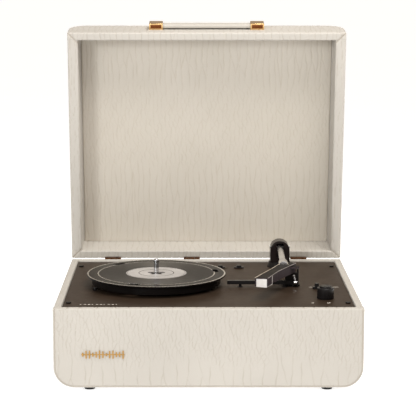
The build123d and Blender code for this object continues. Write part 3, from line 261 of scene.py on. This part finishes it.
def wood(name, colour):
    s = Shader(name)
    dark = tuple(0.6 * c for c in colour[:3]) + (1.0,)
    grain = s.noise(60.0, 6.0, 0.6, (8.0, 0.6, 8.0))
    s.link(s.ramp(grain, [(0.35, dark), (0.65, colour)]), "Base Color")
    s.set(Roughness=0.7)
    return s.material


def moulded_shell_painted_shading(name, upper, flank):
    """Dark moulding with painted light and shade: its upper faces take a darker colour and its flanks a paler one,
    by which way each face points.
    """
    s = Shader(name)
    split = s.nodes.new("ShaderNodeSeparateXYZ")
    s.links.new(s.nodes["Texture Coordinate"].outputs["Normal"], split.inputs["Vector"])
    # Painted light and shade: faces pointing up get the darker colour, flanks the paler one.
    s.link(s.ramp(split.outputs["Z"], [(0.5, flank), (0.9, upper)]), "Base Color")
    s.link(s.span(s.noise(120.0), 0.28, 0.36), "Roughness")
    s.set(Specular_IOR_Level=0.2, IOR=1.12)
    return s.material


def brushed_grooves():
    """Glossy black with its highlights drawn out across fine concentric grooves."""
    s = Shader("platter_grooves")
    s.link(s.ramp(s.noise(30.0), [(0.3, srgb(20, 17, 16)), (0.7, srgb(26, 23, 21))]), "Base Color")
    s.link(s.span(s.noise(90.0), 0.26, 0.32), "Roughness")
    tangent = s.nodes.new("ShaderNodeTangent")
    tangent.direction_type = "RADIAL"
    tangent.axis = "Z"
    s.link(tangent.outputs["Tangent"], "Tangent")
    s.set(IOR=1.3, Anisotropic=0.9, Specular_Tint=(1.0, 0.9, 0.8, 1.0))
    return s.material


# The last argument of each leatherette is its painted crease shade.
CREAM = leatherette("leatherette_cream", srgb(183, 178, 170), srgb(189, 184, 176),
                    (0.84, 0.81, 0.77))
MATERIALS = {
    "leatherette": CREAM,
    "lid_lining": leatherette("leatherette_lining", srgb(197, 190, 178), srgb(203, 196, 185),
                             (0.89, 0.86, 0.82)),
    "handle_leather": CREAM,
    "pine": wood("pine_batten", srgb(205, 170, 120)),
    "deck_black": plastic("deck_satin_brown_black", srgb(48, 37, 28), 0.42, 0.08, shine=0.24,
                          tint=(1.0, 0.88, 0.76, 1.0)),
    "gloss_black": plastic("gloss_black", srgb(30, 24, 23), 0.2, 0.05, shine=0.3, ior=1.3),
    "control_black": plastic("control_black", srgb(26, 24, 24), 0.22, 0.06, shine=0.4, ior=1.35),
    "satin_black": plastic("satin_black", srgb(30, 27, 26), 0.4, 0.08, shine=0.3, ior=1.3),
    "hidden_plastic": plastic("dark_moulding", srgb(34, 31, 29), 0.5, shine=0.25, ior=1.3),
    "rubber": plastic("foot_rubber", srgb(26, 25, 25), 0.7, 0.1, shine=0.2),
    "belt_rubber": plastic("belt_rubber", srgb(32, 31, 31), 0.6, 0.1),
    "black_screw": metal("black_oxide", srgb(40, 38, 38), 0.35),
    "zinc_screw": metal("zinc_plate", srgb(200, 200, 195), 0.3),
    "steel": metal("plain_steel", srgb(170, 170, 168), 0.32),
    "chrome": metal("chrome", srgb(205, 205, 207), 0.06, 0.03),
    "arm_silver": metal("arm_aluminium", srgb(240, 239, 240), 0.2, 0.06),
    "trim_silver": metal("inlaid_aluminium", srgb(232, 229, 224), 0.24, 0.06),
    "label_silver": plastic("label_silver", srgb(166, 162, 159), 0.36, 0.06),
    "brass": metal("polished_brass", srgb(226, 186, 128), 0.2, 0.05),
    # Darker copy of the polished brass: painted shade for brass parts that lie in shadow.
    "dark_brass": metal("brass_painted_shade", srgb(78, 52, 34), 0.4, 0.1),
    "gold_foil": metal("gold_mark", srgb(186, 146, 86), 0.28, 0.08),
    "cartridge_white": plastic("cartridge_white", srgb(232, 228, 224), 0.25, 0.05),
    "stylus_red": plastic("stylus_holder", srgb(200, 196, 192), 0.3),
    "platter_black": plastic("platter_black", srgb(20, 17, 16), 0.2, 0.05, shine=0.2, ior=1.22),
    "magnet": metal("magnet", srgb(110, 110, 112), 0.4),
    "paper_cone": plastic("paper_cone", srgb(40, 39, 38), 0.8, 0.1, 300.0, 0.0002),
    "grille_metal": plastic("grille_black", srgb(28, 27, 27), 0.35, 0.06),
    "circuit_board": plastic("circuit_board", srgb(30, 90, 50), 0.35),
    "components": plastic("components", srgb(45, 45, 50), 0.4),
    # Headshell colours: painted shade on its top, painted light on its flanks.
    "shell_black_painted_shading": moulded_shell_painted_shading("shell_brown_black_painted_shading", srgb(26, 21, 19), srgb(66, 58, 61)),
}
# The headshell's entry is the material with its painted light and shade.
OWN_MATERIAL_OR_PAINTED_SHADING = {"turret_pin": "steel", "platter_bushing": "satin_black", "headshell": "shell_black_painted_shading"}
PRINT = plastic("deck_print", srgb(222, 214, 204), 0.5, shine=0.2)
# Painted highlights for the headshell's upper edges, cream on its left and grey on its right.
EDGE_HIGHLIGHT_MATERIALS = (plastic("shell_highlight_cream", srgb(214, 200, 180), 0.4, shine=0.2),
                  plastic("shell_highlight_grey", srgb(158, 150, 146), 0.4, shine=0.2))

# How wide the rounding of a node's sharp edges is, in mm.
EASED = {
    "headshell": 0.5, "cartridge": 0.3, "arm_turret": 0.4, "cue_bar": 0.5, "cue_guide": 0.3,
    "front_emblem": 0.2, "volume_knob": 0.3, "function_slider": 0.3,
    "speed_slider": 0.3, "autostop_slider": 0.3, "arm_rest": 0.3, "transit_screw": 0.3,
    "speaker_grilles": 0.3, "rear_connector_plate": 0.4, "arm_pedestal": 0.4, "rubber_feet": 0.6,
    "handle_end_caps": 0.3, "handle_strap": 0.4, "hinge_base_leaves": 0.15, "hinge_lid_leaves": 0.15,
    "label_disc": 0.12, "platter_trim_rings": 0.12,
}


def ease_edges(cad, width):
    """Small rounded edges on a part drawn sharp."""
    weld = cad.modifiers.new("weld", "WELD")
    weld.merge_threshold = MERGE
    bevel = cad.modifiers.new("eased_edges", "BEVEL")
    bevel.width = width * MM
    bevel.segments = 2
    bevel.limit_method = "ANGLE"
    bevel.angle_limit = math.radians(35)
    bevel.harden_normals = True


for row in frame["record"]["subparts"]:
    cad = NODES[row["node"]]
    cad.data.materials.clear()
    cad.data.materials.append(MATERIALS[OWN_MATERIAL_OR_PAINTED_SHADING.get(row["node"], row["material_slot"])])
    if row["node"] in EASED:
        ease_edges(cad, EASED[row["node"]])


# ---- embossed leatherette boards ------------------------------------------------------
# Widths and places here are in mm. A share is how deep a line goes, as a part of CREASE_DEPTH.
ROUGHER = 1.0
CREASE_DEPTH = 1.1 * MM
CREASE_HALF_WIDTH = 0.75
CREASE_SHARE = 0.5
SEAM_INSET = 2.0
SEAM_HALF_WIDTH = 0.7
SEAM_SHARE = 0.75
SEAM_WRAP = 1.2
MITRE_HALF_WIDTH = 1.3
MITRE_SHARE = 0.8
MITRE_RISE = 1.5
MITRE_REACH = 15.5
LINING_SEAM_WIDTH = 1.4
FAR_UP = 1000.0      # the front's seam has no upper edge
SIDE_SHIFT = 1000.0  # sets a side face's cells apart from those of the front
FACING = 0.7         # a normal's share along an axis, from which a face counts as facing it


def random_grid(cells, seed):
    """Two fixed pseudo-random numbers from 0 to 1 for each integer cell."""
    mixed = cells.astype(np.int64) * np.array([73856093, 19349663])
    key = (mixed[..., 0] ^ mixed[..., 1]) + seed * 2654435761
    out = []
    for step in range(2):
        key = (key ^ (key >> 13)) * 1274126177 + step * 974711
        key = key & 0xFFFFFFFF
        out.append(((key >> 7) & 0xFFFF) / 65535.0)
    return np.stack(out, -1)


def cell_border(flat, size, seed):
    """Distance in mm from each flat place to its scale's nearest border, and how upright that is."""
    size = np.array(size)
    scaled = flat / size
    base = np.floor(scaled)
    first = np.full(len(flat), 99.0)
    second = np.full(len(flat), 99.0)
    nearest = np.zeros_like(flat)
    next_one = np.zeros_like(flat)
    for dx in (-1, 0, 1):
        for dy in (-1, 0, 1):
            cell = base + np.array([dx, dy])
            centre = cell + 0.1 + 0.8 * random_grid(cell, seed)
            square = ((scaled - centre) ** 2).sum(-1)
            closer = square < first
            runner_up = ~closer & (square < second)
            next_one = np.where(closer[:, None], nearest, np.where(runner_up[:, None], centre, next_one))
            second = np.where(closer, first, np.where(runner_up, square, second))
            nearest = np.where(closer[:, None], centre, nearest)
            first = np.where(closer, square, first)
    apart = next_one - nearest
    gap = np.maximum(np.sqrt((apart ** 2).sum(-1)), 1e-6)
    slope = apart / gap[:, None] / size
    steep = np.maximum(np.sqrt((slope ** 2).sum(-1)), 1e-6)
    return (second - first) / (2 * gap) / steep, np.abs(slope[:, 0]) / steep


def smooth(value, low, high):
    t = np.clip((value - low) / (high - low), 0, 1)
    return t * t * (3 - 2 * t)


def bell(distance, half_width):
    """1 at no distance, falling off smoothly over about the half width."""
    return np.exp(-(distance / half_width) ** 2)


class Pattern:
    """Crocodile embossing: long creases along one axis, pebbles inside a zone of that axis."""

    def __init__(self, axis, pitch, zone, half, pebble, seed):
        self.axis = axis
        self.pitch = pitch
        self.zone = zone
        self.half = half
        self.pebble = pebble
        self.seed = seed

    def creases(self, place, normals):
        """How deep in a crease each point is, 0 to 1, for places in mm."""
        third = Y + Z - self.axis
        facing = np.abs(normals)
        across = np.where(facing[:, 0] > FACING, place[:, third] + SIDE_SHIFT, place[:, 0])
        along = np.where(facing[:, self.axis] > FACING, place[:, third], place[:, self.axis])
        ripple = 0.8 * np.sin(0.11 * along + 0.05 * across + self.seed) + 0.3 * np.sin(0.41 * along)
        bent = np.stack([across + ripple, along + 1.2 * np.sin(0.23 * across + self.seed)], -1)
        off_zone = np.abs(along - self.zone + 7 * np.sin(0.045 * across) + 4 * np.sin(0.11 * across))
        pebbled = 1 - smooth(off_zone, self.half - 14, self.half + 14)
        long_border, upright = cell_border(bent, (self.pitch, 70.0), self.seed)
        long_crease = bell(long_border, CREASE_HALF_WIDTH) * (0.05 + 0.95 * upright ** 6)
        pebble_border, upright = cell_border(bent, self.pebble, self.seed + 5)
        pebble_crease = bell(pebble_border, CREASE_HALF_WIDTH) * (0.25 + 0.75 * upright ** 2)
        strength = 0.8 + 0.2 * np.sin(0.31 * across + 0.17 * along + self.seed)
        return (long_crease * (1 - pebbled) + 0.9 * pebble_crease * pebbled) * strength


def front_seam(place):
    """Stitched-over seam a little inside the front face's side and bottom edges."""
    centre_z = (FEET_HEIGHT / MM + FAR_UP) / 2
    qx = np.abs(place[:, 0]) - (HALF_WIDTH - CASE_RADIUS)
    qz = np.abs(place[:, 2] - centre_z) - (centre_z - FEET_HEIGHT / MM - CASE_RADIUS)
    outside = np.hypot(np.maximum(qx, 0), np.maximum(qz, 0)) + np.minimum(np.maximum(qx, qz), 0)
    inset = CASE_RADIUS - outside
    line = SEAM_SHARE * bell(inset - SEAM_INSET, SEAM_HALF_WIDTH)
    return line * (place[:, 1] < FRONT_Y + SEAM_WRAP)


def mitre_seam(place):
    """Diagonal joint across the lid's rim at each corner."""
    to_side = HALF_WIDTH - np.abs(place[:, 0])
    to_end = np.minimum(place[:, 1] - FRONT_Y, REAR_Y - place[:, 1])
    line = MITRE_SHARE * bell(to_side - to_end, MITRE_HALF_WIDTH)
    return line * (place[:, 2] < RIM_Z + MITRE_RISE) * (to_side < MITRE_REACH)


def lining_seam_and_shade(place):
    """Line pressed in where the lining's edges turn in against the lid's walls; its dark colour is painted shade
    in that corner.
    """
    inset = np.minimum(place[:, 0] - place[:, 0].min(), place[:, 0].max() - place[:, 0])
    return bell(inset, LINING_SEAM_WIDTH)


def largest_shell(mesh):
    """Drops the closed pockets inside a board, keeping its outer surface."""
    bm = bmesh.new()
    bm.from_mesh(mesh)
    bmesh.ops.remove_doubles(bm, verts=bm.verts, dist=MERGE)
    left = set(bm.verts)
    shells = []
    while left:
        start = left.pop()
        shell, queue = {start}, [start]
        while queue:
            for edge in queue.pop().link_edges:
                for vert in edge.verts:
                    if vert not in shell:
                        shell.add(vert)
                        queue.append(vert)
        left -= shell
        shells.append(shell)
    keep = max(shells, key=lambda shell: max(v.co.x for v in shell) - min(v.co.x for v in shell))
    bmesh.ops.delete(bm, geom=[v for v in bm.verts if v not in keep], context="VERTS")
    bm.to_mesh(mesh)
    bm.free()


def emboss(piece, pattern, seam, in_lid):
    """Presses creases and seams into a finely divided mesh and stores their depth, from which the colour paints
    shade into them.
    """
    co = vertex_array(piece.data)
    normals = normal_array(piece.data)
    place = co / MM
    crease = CREASE_SHARE * pattern.creases(place, normals)
    if seam:
        crease = np.maximum(crease, seam(place))
    co -= normals * (crease * CREASE_DEPTH)[:, None]
    set_vertices(piece.data, co)
    store = piece.data.attributes.new("crease", "FLOAT", "POINT")
    store.data.foreach_set("value", crease.astype(np.float32))
    if in_lid:
        piece.data.transform(OPENED)
    for polygon in piece.data.polygons:
        polygon.use_smooth = True


def run_under(mesh, reach):
    """Lengthens a wrap at both ends, so that no gap opens where it meets the end boards."""
    co = vertex_array(mesh)
    ends = (co[:, 1].min(), co[:, 1].max())
    for end, way in zip(ends, (-1, 1)):
        co[np.abs(co[:, 1] - end) < 1e-5, 1] += way * reach * MM
    set_vertices(mesh, co)


def covered_board(node, voxel, pattern, seam=None, in_lid=False, under=0.0):
    """Leatherette-covered board in a CAD node's place: its form, soft-edged and embossed."""
    mesh = NODES[node].data.copy()
    if in_lid:
        mesh.transform(CLOSED)
    largest_shell(mesh)
    run_under(mesh, under)
    piece = new_object(node + "_covering", mesh)
    remesh = piece.modifiers.new("remesh", "REMESH")
    remesh.mode = "VOXEL"
    remesh.voxel_size = voxel * ROUGHER * MM
    soften = piece.modifiers.new("soften", "SMOOTH")
    soften.iterations = 2
    soften.factor = 0.5
    apply_modifiers(piece)
    emboss(piece, pattern, seam, in_lid)
    piece.data.materials.clear()
    piece.data.materials.append(MATERIALS["leatherette"])
    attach(piece, "lid" if in_lid else "base")
    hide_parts(node)


def lid_lining(step, pattern):
    """Padded-looking lining sheet with its face finely divided."""
    mesh = NODES["lid_lining"].data.copy()
    mesh.transform(CLOSED)
    co = vertex_array(mesh)
    low, high = co.min(0), co.max(0)
    count = [int(math.ceil((high[i] - low[i]) / (step * ROUGHER * MM))) + 1 for i in (0, 1)]
    xs = np.linspace(low[0], high[0], count[0])
    ys = np.linspace(low[1], high[1], count[1])
    grid_x, grid_y = np.meshgrid(xs, ys, indexing="ij")
    face = np.stack([grid_x, grid_y, np.full_like(grid_x, low[2])], -1).reshape(-1, 3)
    index = np.arange(count[0] * count[1]).reshape(count)
    quads = np.stack([index[:-1, :-1], index[:-1, 1:], index[1:, 1:], index[1:, :-1]], -1).reshape(-1, 4)
    edge = np.concatenate([index[:, 0], index[-1, 1:], index[-2::-1, -1], index[0, -2:0:-1]])
    back = face[edge] + [0, 0, high[2] - low[2]]
    turned = len(face) + np.arange(len(edge))
    walls = np.stack([edge, np.roll(edge, -1), np.roll(turned, -1), turned], -1)
    faces = quads.tolist() + walls.tolist() + [turned.tolist()]
    sheet = mesh_from("lid_lining_sheet", np.concatenate([face, back]), faces)
    piece = new_object("lid_lining_sheet", sheet)
    emboss(piece, pattern, lining_seam_and_shade, True)
    piece.data.materials.append(MATERIALS["lid_lining"])
    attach(piece, "lid")
    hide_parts("lid_lining")


FRONT_PATTERN = Pattern(Z, 15.0, CASE_TOP / MM - 27.0, 46.0, (5.2, 8.5), 3)
REAR_PATTERN = Pattern(Z, 15.0, CASE_TOP / MM - 27.0, 46.0, (6.5, 10.0), 4)
LID_PATTERN = Pattern(Y, 8.5, FRONT_Y + 150.0, 62.0, (6.0, 9.5), 6)
covered_board("case_front_board", 0.85, FRONT_PATTERN, front_seam)
covered_board("case_rear_board", 1.3, REAR_PATTERN)
covered_board("case_wrap", 1.7, REAR_PATTERN, under=3.0)
covered_board("lid_front_board", 1.0, LID_PATTERN, mitre_seam, in_lid=True)
covered_board("lid_rear_board", 1.0, LID_PATTERN, mitre_seam, in_lid=True)
covered_board("lid_wrap", 1.7, LID_PATTERN, mitre_seam, in_lid=True, under=3.0)
lid_lining(0.9, LID_PATTERN)


# ---- turned and printed details -------------------------------------------------------
def lathe(name, profile, centre, segments=192):
    """Closed ring turned from a closed (radius, height) profile in metres."""
    profile = np.array(profile)
    turn = np.linspace(0, 2 * np.pi, segments, endpoint=False)
    verts = np.stack([
        np.cos(turn)[:, None] * profile[None, :, 0],
        np.sin(turn)[:, None] * profile[None, :, 0],
        np.broadcast_to(profile[None, :, 1], (segments, len(profile))),
    ], -1).reshape(-1, 3)
    index = np.arange(segments * len(profile)).reshape(segments, len(profile))
    ahead, up = np.roll(index, -1, 0), np.roll(index, -1, 1)
    quads = np.stack([index, ahead, np.roll(ahead, -1, 1), up], -1).reshape(-1, 4)
    piece = new_object(name, mesh_from(name, verts, quads.tolist()))
    piece.location = centre
    return piece


def give_material_and_attach(piece, body, material):
    piece.data.materials.clear()
    piece.data.materials.append(material)
    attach(piece, body)


def grooved_band(name, inner, outer, pitch, depth, crest=0.14, sunk=0.1):
    """Thin ribbed ring lying on the platter between two radii in mm."""
    count = int((outer - inner) / pitch)
    radii = np.linspace(inner, outer, 2 * count + 1) * MM
    top = np.where(np.arange(len(radii)) % 2, crest - depth, crest) * MM
    profile = list(zip(radii, top)) + [(radii[-1], -sunk * MM), (radii[0], -sunk * MM)]
    give_material_and_attach(lathe(name, profile, PLATTER_CENTRE), "platter", brushed_grooves())


def flat_ring(name, inner, outer, low, high, material):
    """Thin ring with eased edges."""
    ease = 0.25 * (high - low)
    profile = [(inner, low), (outer, low), (outer, high - ease), (outer - ease, high),
               (inner + ease, high), (inner, high - ease)]
    piece = lathe(name, [(r * MM, z * MM) for r, z in profile], PLATTER_CENTRE)
    give_material_and_attach(piece, "platter", material)


grooved_band("platter_grooves", 42.2, 79.0, 1.3, 0.05)
flat_ring("label_line", 23.6, 24.5, -0.05, 0.06, MATERIALS["platter_black"])
flat_ring("label_edge", 39.6, 40.1, -0.05, 0.05, MATERIALS["platter_black"])


def pills(name, places, level, thickness=0.07):
    """Thin round-ended marks printed on the deck, each (x0, x1, back0, back1) in mm behind the front."""
    verts, faces = [], []
    for x0, x1, back0, back1 in places:
        radius = min(x1 - x0, back1 - back0) / 2
        outline = []
        corners = ((x1 - radius, back1 - radius, 0), (x0 + radius, back1 - radius, 90),
                   (x0 + radius, back0 + radius, 180), (x1 - radius, back0 + radius, 270))
        for cx, cy, start in corners:
            for step in range(0, 91, 30):
                angle = math.radians(start + step)
                outline.append((cx + radius * math.cos(angle), cy + radius * math.sin(angle)))
        first, count = len(verts), len(outline)
        for height in (0.0, thickness):
            verts += [(x * MM, Y_FRONT + back * MM, level + height * MM) for x, back in outline]
        faces.append([first + count + i for i in range(count)])
        faces.append([first + i for i in reversed(range(count))])
        for i in range(count):
            j = (i + 1) % count
            faces.append([first + i, first + j, first + count + j, first + count + i])
    piece = new_object(name, mesh_from(name, verts, faces))
    give_material_and_attach(piece, "base", PRINT)


def row_of_dashes(first, pitch, count, back, usual=3.6, short=2.2):
    """Generic dashes in place of a printed word, every third one shorter."""
    starts = [first + pitch * i for i in range(count)]
    return [(x, x + (usual if i % 3 else short), *back) for i, x in enumerate(starts)]


def marks(spans, back):
    """Marks that share one place from front to back."""
    return [(x0, x1, *back) for x0, x1 in spans]


# A word near the front left, then the function slider's, the volume knob's and the rear sliders' marks.
MARKS = row_of_dashes(-168.0, 5.2, 10, (38.0, 40.0))
MARKS += marks([(139.0, 143.0), (172.0, 180.0)], (148.4, 149.6))
MARKS += marks([(135.2, 138.8), (155.6, 160.4)], (46.6, 49.4))
MARKS += marks([(14.0, 16.0), (24.0, 26.0), (41.0, 43.0), (51.0, 53.0)], (293.4, 294.4))
PRINT_SUNK = 0.01 * MM
pills("deck_prints", MARKS, DECK_TOP - PRINT_SUNK)


STITCH = Matrix.Diagonal((1.5 * MM, 0.35 * MM, 0.45 * MM, 1.0))


def stitch_rows(node, pitch, inset, clear_ends):
    """Rows of raised thread stitches along both edges of the strap's outer face."""
    mesh = NODES[node].data.copy()
    mesh.transform(CLOSED)
    co = vertex_array(mesh)
    low, high = co.min(0), co.max(0)
    bm = bmesh.new()
    rows = (low[2] + inset * MM, high[2] - inset * MM)
    count = int((high[0] - low[0] - clear_ends * MM) / (pitch * MM))
    start = (low[0] + high[0] - (count - 1) * pitch * MM) / 2
    for z in rows:
        for i in range(count):
            shape = Matrix.Translation((start + i * pitch * MM, low[1], z)) @ STITCH
            bmesh.ops.create_uvsphere(bm, u_segments=8, v_segments=6, radius=1.0, matrix=shape)
    stitched = bpy.data.meshes.new("strap_stitching")
    bm.to_mesh(stitched)
    bm.free()
    stitched.transform(OPENED)
    piece = new_object("strap_stitching", stitched)
    give_material_and_attach(piece, "handle", MATERIALS["lid_lining"])


stitch_rows("handle_strap", 4.0, 2.6, 40)


def cap_bands(node, length, frame_width, proud, sunk=0.2):
    """Dark inset band on the rim side of each handle cap, with chamfered edges."""
    mesh = NODES[node].data.copy()
    mesh.transform(CLOSED)
    co = vertex_array(mesh)
    low, high = co.min(0) / MM, co.max(0) / MM
    verts, faces = [], []
    for side in (-1, 1):
        outer = side * (high[0] - frame_width)
        inner = side * (high[0] - length + frame_width)
        x0, x1 = min(outer, inner), max(outer, inner)
        y0, y1 = low[1] + frame_width, FRONT_Y - frame_width
        first = len(verts)
        levels = ((0.0, low[2] + sunk), (0.0, low[2] - proud / 2), (proud / 2, low[2] - proud))
        for shrink, z in levels:
            verts += [(x * MM, y * MM, z * MM) for x, y in (
                (x0 + shrink, y0 + shrink), (x1 - shrink, y0 + shrink),
                (x1 - shrink, y1 - shrink), (x0 + shrink, y1 - shrink))]
        faces.append([first + i for i in range(4)])
        faces.append([first + 8 + i for i in reversed(range(4))])
        for ring in (0, 4):
            for i in range(4):
                near, ahead = first + ring + i, first + ring + (i + 1) % 4
                faces.append([ahead, near, near + 4, ahead + 4])
    piece = new_object("handle_cap_bands", mesh_from("handle_cap_bands", verts, faces))
    piece.data.transform(OPENED)
    give_material_and_attach(piece, "lid", metal("cap_band_bronze", srgb(120, 70, 40), 0.3))
    for polygon in piece.data.polygons:
        polygon.use_smooth = False


cap_bands("handle_end_caps", 19.6, 1.9, 0.5)


SHORTEST_EDGE = 2 * MM
TOP_BAND = 0.1 * MM
LEVEL, STEEP = 0.9, 0.6


def top_edges(node):
    """A node's long edges between its top and a flank, leaving out those that run side to side."""
    low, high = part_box(node)
    bm = bmesh.new()
    bm.from_mesh(NODES[node].data)
    bmesh.ops.remove_doubles(bm, verts=bm.verts, dist=MERGE)
    found = []
    for edge in bm.edges:
        a, b = (v.co.copy() for v in edge.verts)
        run = b - a
        lengthwise = abs(run.y) >= abs(run.x) and run.length >= SHORTEST_EDGE
        if not lengthwise or min(a.z, b.z) < high.z - TOP_BAND or len(edge.link_faces) != 2:
            continue
        flank, top = sorted(face.normal.z for face in edge.link_faces)
        if top >= LEVEL and flank <= STEEP:
            found.append((a, b))
    bm.free()
    return found


def bead(a, b, radius):
    """Vertices of a six-sided bead from a to b, one end after the other."""
    run = (b - a).normalized()
    across = run.cross(Vector((0, 0, 1))).normalized()
    up = across.cross(run)
    ring = [(across * math.cos(k * math.pi / 3) + up * math.sin(k * math.pi / 3)) * radius * MM
            for k in range(6)]
    return [end + spoke for end in (a, b) for spoke in ring]


def shell_highlight_lines(node, radius, slant, offset=0.13):
    """Fine painted highlights along the headshell's upper edges, one material for each side of its middle."""
    low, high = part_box(node)
    sides = ([], [])
    for a, b in top_edges(node):
        middle = (a + b) / 2
        share = offset + slant * (middle.y - low.y) / (high.y - low.y)
        sides[int(middle.x > low.x + share * (high.x - low.x))].append((a, b))
    for name, edges, material in zip(("left", "right"), sides, EDGE_HIGHLIGHT_MATERIALS):
        verts, faces = [], []
        for a, b in edges:
            first = len(verts)
            verts += bead(a, b, radius)
            for k in range(6):
                ahead = (k + 1) % 6
                faces.append([first + k, first + ahead, first + 6 + ahead, first + 6 + k])
            faces.append([first + k for k in reversed(range(6))])
            faces.append([first + 6 + k for k in range(6)])
        if faces:
            piece = new_object("shell_highlight_" + name, mesh_from("shell_highlight_" + name, verts, faces))
            give_material_and_attach(piece, "arm", material)


# Painted highlight lines on the headshell's edges.
shell_highlight_lines("headshell", 0.32, 0.72)


# ---- floor, light and camera ----------------------------------------------------------
def make_floor():
    """Wide pale floor that glows a little, so that it stays white behind the object."""
    reach = 30
    corners = [(-reach, -reach, 0), (reach, -reach, 0), (reach, reach, 0), (-reach, reach, 0)]
    floor = new_object("studio_floor", mesh_from("studio_floor", corners, [(0, 1, 2, 3)]))
    s = Shader("floor_white")
    s.link(s.ramp(s.noise(2.0), [(0.3, (0.6, 0.6, 0.6)), (0.7, (0.62, 0.62, 0.62))]), "Base Color")
    s.set(Roughness=0.9, Specular_IOR_Level=0.1)
    s.set(Emission_Color=(1.0, 1.0, 1.0, 1.0), Emission_Strength=0.75)
    floor.data.materials.append(s.material)


def area_light(name, place, target, size, power, colour=(1.0, 1.0, 1.0)):
    data = bpy.data.lights.new(name, "AREA")
    data.shape = "RECTANGLE"
    data.size, data.size_y = size
    data.energy = power
    data.color = colour
    lamp = bpy.data.objects.new(name, data)
    lamp.location = place
    lamp.rotation_euler = (Vector(target) - Vector(place)).to_track_quat("-Z", "Y").to_euler()
    bpy.context.scene.collection.objects.link(lamp)


def make_world():
    """Dim, warm surroundings."""
    world = bpy.data.worlds.new("studio_world")
    world.use_nodes = True
    background = world.node_tree.nodes["Background"]
    background.inputs["Color"].default_value = (1.0, 0.90, 0.79, 1.0)
    background.inputs["Strength"].default_value = 0.45
    bpy.context.scene.world = world
    bpy.context.scene.view_settings.view_transform = "Standard"


CAMERA_LENS = 138.62
CAMERA_SHIFT = 0.0422
CAMERA_LEFT = 0.02337
CAMERA_BEFORE_CASE = 2.0060
CAMERA_OVER_CASE = 0.4494
CAMERA_PITCH = 9.03


def make_camera():
    """Long lens a little left of the middle, looking down on the deck."""
    data = bpy.data.cameras.new("camera")
    data.sensor_width = 36.0
    data.lens = CAMERA_LENS
    data.shift_x = CAMERA_SHIFT
    data.clip_end = 100.0
    camera = bpy.data.objects.new("camera", data)
    camera.location = (-CAMERA_LEFT, Y_FRONT - CAMERA_BEFORE_CASE, CASE_TOP + CAMERA_OVER_CASE)
    camera.rotation_euler = (math.radians(90 - CAMERA_PITCH), 0, 0)
    bpy.context.scene.collection.objects.link(camera)
    bpy.context.scene.camera = camera


make_floor()
make_world()
area_light("key_left", (-1.5, -2.6, 1.0), (0, 0, 0.2), (0.5, 0.5), 31.0, (0.95, 0.98, 1.0))
area_light("front_fill", (-0.3, -3.2, 1.9), (0, 0, 0.2), (2.0, 1.6), 9.0, (0.95, 0.98, 1.0))
area_light("lid_fill", (0.4, -0.5, 1.6), (0, 0.14, 0.2), (1.0, 0.5), 24.0, (1.0, 0.98, 0.95))
make_camera()
